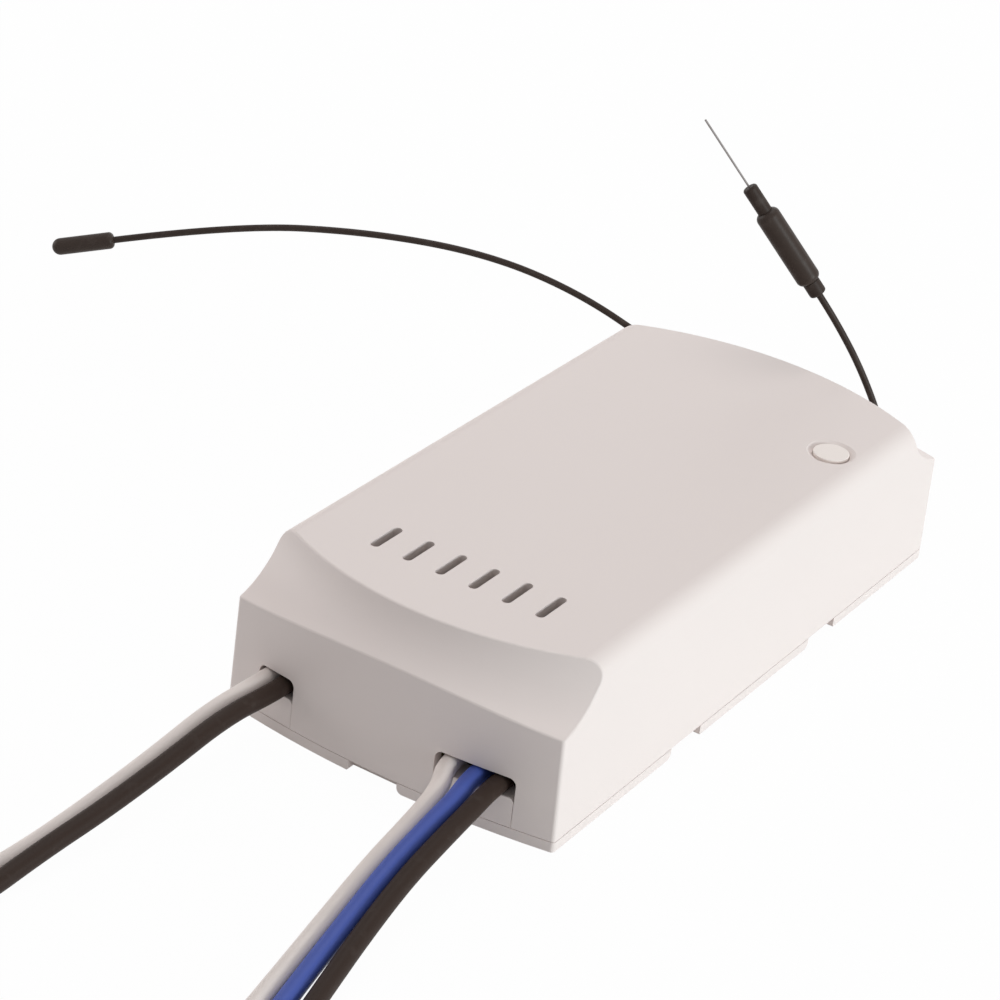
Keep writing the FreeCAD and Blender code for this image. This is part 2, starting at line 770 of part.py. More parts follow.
def makeBaseCover():
    body = newBody("BaseCover")
    sketch = sketchOn(body, "PlatePlan", "XY_Plane")
    plan(sketch, 0)
    block = pad(body, "Plate", sketch, plateThick - seamHeight)
    roundEdges(body, "PlateCorners", block, cornerRound, upright)
    # Narrower layer on the plate, which leaves a fine seam all round under the cover
    sketch = sketchOn(body, "SeamPlan", "XY_Plane", plateThick - seamHeight)
    plan(sketch, seamDepth)
    pad(body, "SeamLayer", sketch, seamHeight)
    for side in (-1, 1):
        sketch = sketchOn(body, "EndNotch", "XZ_Plane", side * halfLength)
        notchOutline(sketch, endNotchShift, notchSharp, notchRound)
        pocket(body, "EndNotchCut", sketch, 2 * endNotchDepth, both=True)
        for place in (nearNotch, farNotch):
            sketch = sketchOn(body, "SideNotch", "YZ_Plane", side * halfWidth)
            notchOutline(sketch, place, notchRound, notchSharp)
            pocket(body, "SideNotchCut", sketch, 2 * sideNotchDepth, both=True)
    # Skirt inside the cover
    sketch = sketchOn(body, "SkirtPlan", "XY_Plane", plateThick)
    plan(sketch, skirtInset)
    plan(sketch, skirtInset + skirtWall)
    pad(body, "Skirt", sketch, skirtHeight)
    for side in (-1, 1):
        for place in (nearNotch, farNotch):
            sketch = sketchOn(body, "HookProfile", "XZ_Plane", -place)
            foot = side * (halfWidth - skirtInset)
            tip = side * (halfWidth - skirtInset + hookReach)
            low = skirtTop - hookHeight
            corners = [(foot, low), (tip, low + hookLip), (tip, low + 2 * hookLip), (foot, skirtTop)]
            loop(sketch, corners if side > 0 else corners[::-1])
            pad(body, "Hook", sketch, hookLength, both=True)
    # Tongues that close the lead exits from below
    for place, width in exits:
        sketch = sketchOn(body, "TongueOutline", "XZ_Plane", frontFace)
        archOutline(sketch, place, width - 2 * tongueGap, plateThick, tongueTop, tongueRound)
        feature = pad(body, "Tongue", sketch, 1 + endBulge + skirtInset)
        feature.Reversed = True
    sketch = sketchOn(body, "TongueFace", "XY_Plane", plateThick)
    side = halfWidth + 1
    radius = bulgeRadius - tongueGap
    reach = bulgeCentre + root(radius * radius - side * side)
    far = halfLength + 2
    corners = [(-side, -far), (side, -far), (side, -reach), (-side, -reach)]
    loop(sketch, corners, {2: ((0, -bulgeCentre), radius, -1)})
    pocket(body, "TongueFaceCut", sketch, tongueTop, up=True)
    doc.recompute()
    roundEdges(body, "TongueEdges", body.Tip, tongueEase, atExit)
    # Posts for the board
    sketch = sketchOn(body, "PostOutlines", "XY_Plane", plateThick)
    for spot in postSpots:
        ring(sketch, spot, postRadius)
    pad(body, "Posts", sketch, postHeight)
    sketch = sketchOn(body, "PilotOutlines", "XY_Plane", boardBottom)
    for spot in postSpots:
        ring(sketch, spot, pilotRadius)
    pocket(body, "PilotHoles", sketch, pilotDepth)
    return named(body, "base_cover")


def placeOf(name):
    """Where a part stands on the board."""
    across, along = places[name]
    return halfWidth * across, halfLength * along


postSpots = [(side * postX, halfLength * share) for side in (-1, 1) for share in (frontPostShare, rearPostShare)]
moduleX = buttonX - switchWidth / 2 - legReach - moduleGap - moduleWidth / 2
moduleY = halfLength * moduleShare
socketX = moduleX + moduleWidth / 2 - socketSideInset
radioHoleX = radioHoleGap - halfWidth
wifiHoleX = socketX + wifiHoleShift
makeTopCover()
makeBaseCover()


# Button cap: a disc in the dish, a flange under the top and a stem down to the switch
def makeButtonCap():
    foot = plungerTop + buttonRest
    flangeLow = flangeTop - flangeThick
    disc = buttonRadius - buttonRound
    edge = caseHeight - buttonRound
    corners = [
        (0, foot),
        (stemRadius, foot),
        (stemRadius, flangeLow),
        (flangeRadius, flangeLow),
        (flangeRadius, flangeTop),
        (buttonRadius, flangeTop),
        (buttonRadius, edge),
        (disc, caseHeight),
        (0, caseHeight),
    ]
    body = turned("button_cap", corners, {6: ((disc, edge), buttonRound, 1)})
    bind(body, Placement__Base__x=buttonX, Placement__Base__y=buttonY)


makeButtonCap()

# Lead places: where each lead leaves the front wall and solders to the board
leadPlaces = {
    "white_supply_lead": leftExitPlace + leftWhiteStep,
    "black_supply_lead": leftExitPlace + leftBlackStep,
    "white_fan_lead": rightExitPlace + rightWhiteStep,
    "blue_light_lead": rightExitPlace + rightBlueStep,
    "black_fan_lead": rightExitPlace + rightBlackStep,
}

# Parts that stand on the board, each with round pins through it
pinSpots = []


def standing(name, body, spots):
    """A part with its pins in one piece."""
    pins = []
    for x, y in spots:
        pinSpots.append((x, y))
        length = boardThick + pinDrop + pinRise
        pins.append(rod(f"{name}Pin{len(pinSpots)}", x, y, boardBottom - pinDrop, pinRadius, length))
    return fuse(name, [body] + pins)


def pair(x, y, stepX, stepY=0):
    """Two pin places on both sides of a middle."""
    return [(x - stepX, y - stepY), (x + stepX, y + stepY)]


relays = []
middle, row = placeOf("relays")
for i in range(relayCount):
    x = middle + (i - (relayCount - 1) / 2) * (relayWidth + relayGap)
    case = box(f"RelayCase{i}", x, row, boardTop, relayWidth, relayLength, relayHeight)
    across = relayWidth / 2 - relayPinInset
    along = relayLength / 2 - relayPinInset
    spots = pair(x, row, across, along) + pair(x, row, across, -along) + [(x, row)]
    relays.append(standing(f"Relay{i}", case, spots))
group("relays", relays)

speedCaps = []
x, middle = placeOf("speed_capacitors")
speedCapHeight = ceiling - boardTop - speedCapHeadroom
for i in range(2):
    y = middle + (i - 0.5) * (speedCapWidth + speedCapGap)
    case = box(f"SpeedCapCase{i}", x, y, boardTop, speedCapLength, speedCapWidth, speedCapHeight)
    speedCaps.append(standing(f"SpeedCap{i}", case, pair(x, y, speedCapLength / 2 - speedCapPinInset)))
group("speed_capacitors", speedCaps)

x, y = placeOf("safety_capacitor")
case = box("LineCapCase", x, y, boardTop, lineCapLength, lineCapWidth, lineCapHeight)
named(standing("LineCap", case, pair(x, y, lineCapLength / 2 - lineCapPinInset)), "safety_capacitor")

x, y = placeOf("varistor")
low = boardTop + varistorLift + varistorRadius
disc = rod("VaristorDisc", x - varistorThick / 2, y, low, varistorRadius, varistorThick, "X")
foot = box("VaristorFoot", x, y, boardTop, varistorFoot, varistorRadius, 2 * varistorLift)
named(standing("Varistor", fuse("VaristorBody", [disc, foot]), pair(x, y, 0, varistorPinStep)), "varistor")

x, y = placeOf("fuse")
tube = rod("FuseTube", x, y - fuseLength / 2, boardTop + fuseRadius, fuseRadius, fuseLength, "Y")
named(standing("Fuse", tube, pair(x, y, 0, fuseLength / 2 - fusePinInset)), "fuse")

# Transformer: an iron core with a middle leg, and a winding round that leg
x, y = placeOf("transformer")
coreBase = boardTop + coreLift
coreSpan = coreHeight - coreLift
windowBase = coreBase + coreFoot
core = box("CoreBlockOuter", x, y, coreBase, coreWidth, coreDepth, coreSpan)
window = box("CoreWindow", x, y, windowBase, windingWidth, coreDepth + 1, windingHeight)
post = box("CorePost", x, y, coreBase, corePost, coreDepth, coreSpan)
named(fuse("Core", [cut("CoreFrame", core, window), post]), "transformer_core")
coilWidth = windingWidth - 2 * windingGap
coil = box("Coil", x, y, windowBase + windingGap, coilWidth, windingDepth, windingHeight - 2 * windingGap)
foot = box("BobbinFoot", x, y, boardTop, coilWidth, windingDepth, coreLift - windingGap / 2)
earDepth = (windingDepth - coreDepth - windingGap) / 2
ears = []
for side in (-1, 1):
    place = y + side * (windingDepth - earDepth) / 2
    ears.append(box(f"BobbinEar{side + 1}", x, place, boardTop, coilWidth, earDepth, bobbinEar))
hole = box("CoilHole", x, y, coreBase, corePost + windingGap, coreDepth + windingGap, coreHeight)
coilBody = cut("CoilBody", fuse("CoilBlock", [coil, foot] + ears), hole)
along = windingDepth / 2 - bobbinPinInset
legs = pair(x, y, bobbinPinX, along) + pair(x, y, bobbinPinX, -along)
named(standing("Winding", coilBody, legs), "transformer_winding")

x, y = placeOf("bulk_capacitor")
can = rod("BulkCan", x, y, boardTop, bulkCapRadius, bulkCapHeight)
named(standing("BulkCap", can, pair(x, y, canPinStep)), "bulk_capacitor")
outputs = []
for side in ("left", "right"):
    x, y = placeOf(f"{side}_output_capacitor")
    can = rod(f"{side}OutputCan", x, y, boardTop, outputCapRadius, outputCapHeight)
    outputs.append(standing(f"{side}OutputCap", can, pair(x, y, canPinStep)))
group("output_capacitors", outputs)
x, y = placeOf("choke")
drum = rod("ChokeDrum", x, y, boardTop, chokeRadius, chokeHeight)
named(standing("Choke", drum, pair(x, y, canPinStep)), "choke")
x, y = placeOf("bridge_rectifier")
named(box("Bridge", x, y, boardTop, bridgeWidth, bridgeLength, bridgeHeight), "bridge_rectifier")
x, y = placeOf("buzzer")
can = rod("BuzzerCan", x, y, boardTop, buzzerRadius, buzzerHeight)
port = rod("BuzzerSoundHole", x, y, boardTop + buzzerHeight - 1, buzzerPort, 2)
named(standing("Buzzer", cut("BuzzerBody", can, port), pair(x, y, buzzerPinStep)), "buzzer")
x = moduleX - moduleWidth / 2 - driverGap - driverLength / 2
named(box("Driver", x, halfLength * driverShare, boardTop, driverLength, driverWidth, chipHeight), "driver_chip")
x, y = placeOf("voltage_regulator")
named(box("Regulator", x, y, boardTop, regulatorLength, regulatorWidth, chipHeight), "voltage_regulator")
y = buttonY + switchWidth / 2 + ledGap + ledWidth / 2
named(box("Led", buttonX, y, boardTop, ledLength, ledWidth, ledHeight), "status_led")

# Wi-Fi module with its can and coax socket
named(box("ModuleBoard", moduleX, moduleY, boardTop, moduleWidth, moduleLength, moduleThick), "wifi_module_board")
moduleTop = boardTop + moduleThick
shieldY = moduleY - moduleLength / 2 + shieldInset + shieldLength / 2
named(box("ShieldCan", moduleX, shieldY, moduleTop, shieldWidth, shieldLength, shieldHeight), "wifi_shield_can")
socketY = moduleY + moduleLength / 2 - socketEndInset
socketTop = moduleTop + socketHeight
named(box("Socket", socketX, socketY, moduleTop, socketWidth, socketWidth, socketHeight), "coax_socket")
plugCap = rod("PlugCap", socketX, socketY, socketTop, plugRadius, plugHeight)
plugAxis = socketTop + plugHeight / 2
plugEnd = socketY + barrelLength
barrel = rod("PlugBarrel", socketX, socketY, plugAxis, barrelRadius, barrelLength, "Y")
named(fuse("Plug", [plugCap, barrel]), "coax_plug")

# Radio receiver board on its pin header
receiverX = radioHoleX + receiverShift
receiverY = halfLength * receiverShare
receiverBottom = boardTop + headerHeight
receiverTop = receiverBottom + receiverThick
receiverBoard = box("ReceiverBoard", receiverX, receiverY, receiverBottom, receiverWidth, receiverLength, receiverThick)
named(receiverBoard, "radio_receiver_board")
headerY = receiverY - receiverLength / 2 + headerInset + headerWidth / 2
strip = box("HeaderStrip", receiverX, headerY, boardTop, headerLength, headerWidth, headerHeight)
spots = [(receiverX + (i - 1.5) * headerPitch, headerY) for i in range(4)]
named(standing("Header", strip, spots), "receiver_header")
chipX = receiverX + receiverChipShift
chipY = receiverY + receiverChipShift
chip = box("ReceiverChip", chipX, chipY, receiverTop, receiverChipLength, receiverChipWidth, receiverChipHeight)
named(chip, "receiver_chip")
can = box("CrystalCan", receiverX + crystalShift, chipY, receiverTop, crystalLength, crystalWidth, crystalHeight)
named(can, "receiver_crystal")

# Push switch: moulded body, metal frame, spring dome, plunger and four legs
domeTop = boardTop + domeSeat + domeRise
plungerFoot = domeTop + buttonTravel + plungerGap
plungerBore = plungerRadius + plungerGap
block = box("SwitchBlock", buttonX, buttonY, boardTop, switchWidth, switchWidth, switchHeight - frameThick)
bore = rod("SwitchBore", buttonX, buttonY, boardTop + domeSeat, plungerBore, switchHeight)
named(cut("SwitchBody", block, bore), "switch_body")
lid = box("FrameLid", buttonX, buttonY, switchTop - frameThick, switchWidth, switchWidth, frameThick)
bore = rod("FrameBore", buttonX, buttonY, switchTop - 1, plungerBore, 2)
named(cut("SwitchFrame", lid, bore), "switch_frame")
named(cone("Dome", buttonX, buttonY, boardTop + domeSeat, domeRadius, domeCrown, domeRise), "switch_dome")
plunger = rod("Plunger", buttonX, buttonY, plungerFoot, plungerRadius, plungerTop - plungerFoot)
named(plunger, "switch_plunger")
legs = []
for a in (-1, 1):
    for b in (-1, 1):
        x = buttonX + a * (switchWidth + legReach) / 2
        y = buttonY + b * legPlace
        legs.append(box(f"Leg{a + 1}{b + 1}", x, y, boardTop, legReach, legWidth, legThick))
group("switch_legs", legs)

# Screws that hold the board on its posts
screws = []
for i, (x, y) in enumerate(postSpots):
    head = rod(f"ScrewHead{i}", x, y, boardTop, screwHeadRadius, screwHeadHeight)
    shank = rod(f"ScrewShank{i}", x, y, boardTop - screwLength, pilotRadius - screwGap, screwLength + 0.5)
    low = boardTop + screwHeadHeight - crossDepth
    bars = [
        box(f"ScrewSlotAcross{i}", x, y, low, crossLength, crossWidth, 1),
        box(f"ScrewSlotAlong{i}", x, y, low, crossWidth, crossLength, 1),
    ]
    screws.append(cut(f"Screw{i}", fuse(f"ScrewBlank{i}", [head, shank]), fuse(f"ScrewCross{i}", bars)))
group("board_screws", screws)


# The board itself, with holes for screws, leads and pins
def makeBoard():
    body = newBody("MainBoard")
    sketch = sketchOn(body, "BoardPlan", "XY_Plane", boardBottom)
    rectangle(sketch, -boardWidth / 2, boardWidth / 2, -boardLength / 2, boardLength / 2)
    block = pad(body, "Board", sketch, boardThick)
    roundEdges(body, "BoardCorners", block, boardCorner, upright)
    groups = [
        ("ScrewHoles", postSpots, pilotRadius + screwClearance),
        ("LeadHoles", [(x, padPlace) for x in leadPlaces.values()], coreDiameter / 2 + pinGap),
        ("PinHoles", pinSpots, pinHole),
    ]
    for name, spots, radius in groups:
        sketch = sketchOn(body, f"{name}Outline", "XY_Plane", boardTop)
        for spot in spots:
            ring(sketch, spot, radius)
        pocket(body, name, sketch, boardThick + 0.5)
    return named(body, "main_board")


makeBoard()


# Cords and cables
def vector(point):
    return V(*[float(value) for value in point])


def tubeAlong(label, points, radius):
    """A round tube along straight runs joined by arcs as large as the runs allow."""
    points = [vector(point) for point in points]
    edges = []
    radii = []
    start = points[0]
    for before, corner, after in zip(points, points[1:], points[2:]):
        into = corner - before
        away = after - corner
        turn = into.getAngle(away)
        short = 0.45 * min(into.Length, away.Length)
        radii.append(short / math.tan(turn / 2))
        into.normalize()
        away.normalize()
        first = corner - into * short
        last = corner + away * short
        inward = away - into
        inward.normalize()
        bend = radii[-1]
        centre = corner + inward * math.hypot(bend, short)
        middle = centre + (corner - centre).normalize() * bend
        edges.append(Part.LineSegment(start, first).toShape())
        edges.append(Part.Arc(first, middle, last).toShape())
        start = last
    edges.append(Part.LineSegment(start, points[-1]).toShape())
    path = Part.Wire(edges)
    face = Part.Face(Part.Wire(Part.Circle(points[0], points[1] - points[0], float(radius)).toShape()))
    item = doc.addObject("Part::Feature", label)
    item.Shape = path.makePipe(face)
    section = math.pi * float(radius) ** 2
    ratio = item.Shape.Volume / (section * path.Length)
    print(f"{label}: length {path.Length:.1f}, least radius {min(radii, default=0):.1f}, volume ratio {ratio:.4f}")
    if abs(ratio - 1) > 0.001:
        raise ValueError(f"{label}: the tube's volume is not its section times its length")
    return item


# Free leads: each route is chosen by hand, as steps to the side, out from the front wall, and up
onFloor = leadRadius + floorGap
leadRoutes = {
    "white_supply_lead": [
        (0, 0.5, leadAxis), (-1.1, 10, 7.25), (-1.4, 22, 5.35), (-2.35, 33.5, 3.3), (-3.35, 45, 1.7),
        (-4.25, 57, onFloor), (-5.25, 74, onFloor), (-6.9, 92, onFloor), (-8.9, 110, onFloor),
        (-10.3, 125.5, onFloor), (-11, 140.5, onFloor),
    ],
    "black_supply_lead": [
        (0, 0.7, leadAxis), (-1.1, 10.5, 7.9), (-1.55, 23, 6.05), (-2.55, 34.5, 4.1), (-3.65, 46, 2.85),
        (-4.25, 58.5, onFloor), (-5.25, 75, onFloor), (-5.3, 93, onFloor), (-4.3, 110.5, onFloor),
        (-3.6, 126, onFloor), (-3.3, 141, onFloor),
    ],
    "white_fan_lead": [
        (0, -0.3, leadAxis), (2.48, 4.5, 7.5), (3.43, 11.8, 6.75), (4.03, 22.5, 5.2), (5.18, 33.5, 3.4),
        (6.68, 45, 2), (8.63, 57, onFloor), (10.63, 73.5, onFloor), (12.03, 91.5, onFloor),
        (13.03, 109, onFloor), (14.23, 124, onFloor), (15.83, 139.6, onFloor),
    ],
    "blue_light_lead": [
        (0, 0, leadAxis), (1.35, 5.8, 7.85), (1.85, 12.3, 7.45), (2.4, 22.5, 6.05), (3.6, 33.5, 3.95),
        (5.25, 45.5, 2.3), (7.45, 57.5, onFloor), (10, 74, onFloor), (12.3, 91.5, onFloor),
        (14.7, 109, onFloor), (16.8, 124.5, onFloor), (18.8, 139.8, onFloor),
    ],
    "black_fan_lead": [
        (0, 0.2, leadAxis), (0.75, 5.8, 7.85), (1.35, 12.6, 7.55), (1.85, 23, 6.1), (3.15, 34.5, 3.9),
        (5.15, 46, 2.2), (7.7, 58, onFloor), (10.6, 74, onFloor), (14.4, 90.5, onFloor), (18.4, 107, onFloor),
        (22, 122.5, onFloor), (25, 138.2, onFloor),
    ],
}


def bareCore(name, x):
    """Bare wire that runs on from the insulation and turns down through the board."""
    start = vector((x, insulationEnd, leadAxis))
    turnStart = vector((x, padPlace - coreBend, leadAxis))
    turnEnd = vector((x, padPlace, leadAxis - coreBend))
    slant = math.sin(math.pi / 4) * coreBend
    middle = vector((x, padPlace - coreBend + slant, leadAxis - coreBend + slant))
    low = vector((x, padPlace, boardBottom - pinDrop))
    path = Part.Wire([
        Part.LineSegment(start, turnStart).toShape(),
        Part.Arc(turnStart, middle, turnEnd).toShape(),
        Part.LineSegment(turnEnd, low).toShape(),
    ])
    face = Part.Face(Part.Wire(Part.Circle(start, V(0, 1, 0), float(coreDiameter) / 2).toShape()))
    item = doc.addObject("Part::Feature", f"{name}_core")
    item.Shape = path.makePipe(face)
    return item


inner = {"white": [], "black": [], "blue": []}
cores = []
joints = []
for name, x in leadPlaces.items():
    route = [(x, leadJoint, leadAxis)] + [(x + side, -halfLength - out, up) for side, out, up in leadRoutes[name]]
    named(tubeAlong(name, route, leadRadius), name)
    tip = vector(route[-1])
    heading = (tip - vector(route[-2])).normalize()
    end = doc.addObject("Part::Cylinder", f"{name}_end")
    bind(end, Radius=coreDiameter / 2, Height=strippedLength)
    end.Placement = FreeCAD.Placement(tip, FreeCAD.Rotation(V(0, 0, 1), heading))
    named(end, f"{name}_end")
    stretch = rod(f"{name}_inner", x, leadJoint, leadAxis, leadRadius, insulationEnd - leadJoint, "Y")
    inner[name.split("_")[0]].append(stretch)
    cores.append(bareCore(name, x))
    fillet = cone(f"{name}_fillet", x, padPlace, boardTop, coreDiameter, coreDiameter / 2 + pinGap, jointHeight)
    eye = rod(f"{name}_eye", x, padPlace, boardTop - 1, coreDiameter / 2 + floorGap, 3)
    joints.append(cut(f"{name}_joint", fillet, eye))
group("inner_leads_white", inner["white"])
group("inner_leads_black", inner["black"])
named(inner["blue"][0], "inner_lead_blue")
group("solder_joints", joints)
group("inner_lead_wires", cores)

# Radio antenna: a thin cable from the receiver board, out of the rear wall and away to the side.
# The free stretch is given as steps from the hole: to the side, out from the rear wall, and up.
cableRadius = cableDiameter / 2
cableRest = receiverTop + cableRadius + 0.03
radioStart = (radioHoleX + 1, receiverY + receiverLength / 2 - cableInset, cableRest)
radioBends = [
    (-4.5, 9.5, 10.2), (-12, 8.3, 13), (-25.6, 2.2, 20.7), (-38.3, -8.4, 27), (-56.1, -17.7, 27.9),
    (-75.1, -28.3, 26.1), (-92.6, -39, 20.8),
]
radioRoute = [
    radioStart,
    (radioHoleX + 1, halfLength - 9.4, cableRest),
    (radioHoleX, halfLength - 3.8, antennaHeight),
    (radioHoleX, halfLength + 6, antennaHeight),
] + [(radioHoleX + side, halfLength + out, up) for side, out, up in radioBends]
named(tubeAlong("radio_antenna_cable", radioRoute, cableRadius), "radio_antenna_cable")
solderY = radioStart[1] - solderWidth / 2
solder = box("CableSolder", radioStart[0], solderY, receiverTop, solderLength, solderWidth, solderHeight)
named(solder, "antenna_solder")
radioEnd = vector(radioRoute[-1])
capRadius = capDiameter / 2
turned(
    "radio_antenna_cap",
    [
        (0, 0),
        (capRadius - capEase, 0),
        (capRadius, capEase),
        (capRadius, capLength - capRadius),
        (0, capLength),
    ],
    {
        1: ((capRadius - capEase, capEase), capEase, 1),
        3: ((0, capLength - capRadius), capRadius, 1),
    },
    radioEnd,
    radioEnd - vector(radioRoute[-2]),
)

# Wi-Fi antenna: coax, a tube with a collar and a thick sleeve round it, and a bare rod at the tip
wifiBends = [(-0.6, 7.3, 14), (-5.4, 5.5, 23.8), (-9.8, 1.3, 33), (-12.75, 0, 36.85)]
wifiRoute = [
    (socketX, plugEnd, plugAxis),
    (socketX, halfLength - 8.4, plugAxis),
    (wifiHoleX, halfLength - 3.4, antennaHeight),
    (wifiHoleX, halfLength + 4.5, antennaHeight),
] + [(wifiHoleX + side, halfLength + out, up) for side, out, up in wifiBends]
named(tubeAlong("wifi_antenna_cable", wifiRoute, cableRadius), "wifi_antenna_cable")
wifiEnd = vector(wifiRoute[-1])
wifiHeading = V(-0.587, -0.262, 0.766).normalize()
tubeRadius = tubeDiameter / 2
tubeEase = tubeDiameter / 6
collarRadius = collarDiameter / 2
collarTop = sleeveStart - 2 * sleeveGap
turned(
    "wifi_antenna_tube",
    [
        (0, 0),
        (collarRadius - tubeEase, 0),
        (collarRadius, tubeEase),
        (collarRadius, collarTop),
        (tubeRadius, collarTop),
        (tubeRadius, tubeLength - tubeEase),
        (tubeRadius - tubeEase, tubeLength),
        (0, tubeLength),
    ],
    {
        1: ((collarRadius - tubeEase, tubeEase), tubeEase, 1),
        5: ((tubeRadius - tubeEase, tubeLength - tubeEase), tubeEase, 1),
    },
    wifiEnd,
    wifiHeading,
)
sleeveRadius = sleeveDiameter / 2
sleeveBore = tubeRadius + sleeveGap
sleeveEnd = sleeveStart + sleeveLength
lipRadius = sleeveBore + sleeveLip
stepIn = sleeveRadius - lipRadius
bend = (stepIn * stepIn + sleeveShoulder * sleeveShoulder) / (2 * stepIn)
shoulderLow = sleeveStart + sleeveShoulder
shoulderHigh = sleeveEnd - sleeveShoulder
turned(
    "wifi_antenna_sleeve",
    [
        (sleeveBore, sleeveStart),
        (lipRadius, sleeveStart),
        (sleeveRadius, shoulderLow),
        (sleeveRadius, shoulderHigh),
        (lipRadius, sleeveEnd),
        (sleeveBore, sleeveEnd),
    ],
    {
        1: ((sleeveRadius - bend, shoulderLow), bend, 1),
        3: ((sleeveRadius - bend, shoulderHigh), bend, 1),
    },
    wifiEnd,
    wifiHeading,
)
tip = doc.addObject("Part::Cylinder", "wifi_antenna_rod")
bind(tip, Radius=rodDiameter / 2, Height=rodLength)
tip.Placement = FreeCAD.Placement(wifiEnd + wifiHeading * float(tubeLength), FreeCAD.Rotation(V(0, 0, 1), wifiHeading))
named(tip, "wifi_antenna_rod")


# Check the whole model before anything is written
def check():
    doc.recompute()
    for item in doc.Objects:
        if "Invalid" in item.State or "Error" in item.State:
            raise ValueError(f"{item.Name} ({item.Label}) failed: {item.State}")
    for body in doc.Objects:
        if body.TypeId != "PartDesign::Body":
            continue
        before = 0
        for feature in body.Group:
            kind = feature.TypeId.split("::")[1]
            if kind in ("Pad", "Revolution") and feature.Shape.Volume <= before + 1e-6:
                raise ValueError(f"{feature.Name} adds nothing")
            if kind in ("Pocket", "Groove", "Boolean") and feature.Shape.Volume >= before - 1e-6:
                raise ValueError(f"{feature.Name} cuts nothing")
            if kind in ("Pad", "Revolution", "Pocket", "Groove", "Boolean", "Fillet"):
                before = feature.Shape.Volume
    for item in nodes:
        shape = item.Shape
        if shape.isNull() or not shape.isValid() or not shape.Solids:
            raise ValueError(f"{item.Label} has no valid solid")


check()
os.makedirs("parts", exist_ok=True)
for item in nodes:
    item.Shape.exportStep(f"parts/{item.Label}.step")
    print(f"{item.Label}: {len(item.Shape.Solids)} solid(s), {item.Shape.Volume:.1f} mm3")
print(f"{len(nodes)} nodes")
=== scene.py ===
import bpy
import math
from mathutils import Matrix, Vector


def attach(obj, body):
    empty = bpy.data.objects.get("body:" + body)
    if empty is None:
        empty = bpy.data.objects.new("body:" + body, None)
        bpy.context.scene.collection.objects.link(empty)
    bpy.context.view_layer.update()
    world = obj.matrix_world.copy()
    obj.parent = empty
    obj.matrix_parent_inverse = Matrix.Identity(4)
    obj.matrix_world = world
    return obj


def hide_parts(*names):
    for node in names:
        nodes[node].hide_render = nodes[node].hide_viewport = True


# Smart ceiling fan controller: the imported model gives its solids, and this file redraws the
# leads and the antenna cables as curves and adds the finishes, the light and the camera.
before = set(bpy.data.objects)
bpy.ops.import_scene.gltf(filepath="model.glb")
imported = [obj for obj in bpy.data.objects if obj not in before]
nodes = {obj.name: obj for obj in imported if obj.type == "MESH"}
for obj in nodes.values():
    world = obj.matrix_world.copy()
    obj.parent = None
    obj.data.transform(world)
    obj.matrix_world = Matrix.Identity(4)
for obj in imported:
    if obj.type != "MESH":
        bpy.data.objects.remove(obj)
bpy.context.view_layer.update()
mm = 0.001
micron = 0.000001
print("frame loaded:", len(nodes), "nodes")


# One output of a material's node: sums and products of fields add Math nodes
class Field:
    def __init__(self, maker, socket):
        self.maker = maker
        self.socket = socket

    def maths(self, operation, first, second, clamped=False):
        settings = {"operation": operation, "use_clamp": clamped}
        return self.maker.add("ShaderNodeMath", settings, {0: first, 1: second})

    def __add__(self, other):
        return self.maths("ADD", self, other)

    def __radd__(self, other):
        return self.maths("ADD", other, self)

    def __sub__(self, other):
        return self.maths("SUBTRACT", self, other)

    def __rsub__(self, other):
        return self.maths("SUBTRACT", other, self)

    def __mul__(self, other):
        return self.maths("MULTIPLY", self, other)

    def __rmul__(self, other):
        return self.maths("MULTIPLY", other, self)

    def __gt__(self, other):
        return self.maths("GREATER_THAN", self, other)

    # Another output of the same node
    def beside(self, output):
        return Field(self.maker, self.socket.node.outputs[output])

    # Spread so that low gives 0 and high gives 1, and held inside that range
    def between(self, low, high):
        return self.maths("MULTIPLY", self - low, 1 / (high - low), True)

    # A noise turned into a small change to either side of nothing
    def sway(self, amount):
        return (self - 0.5) * amount


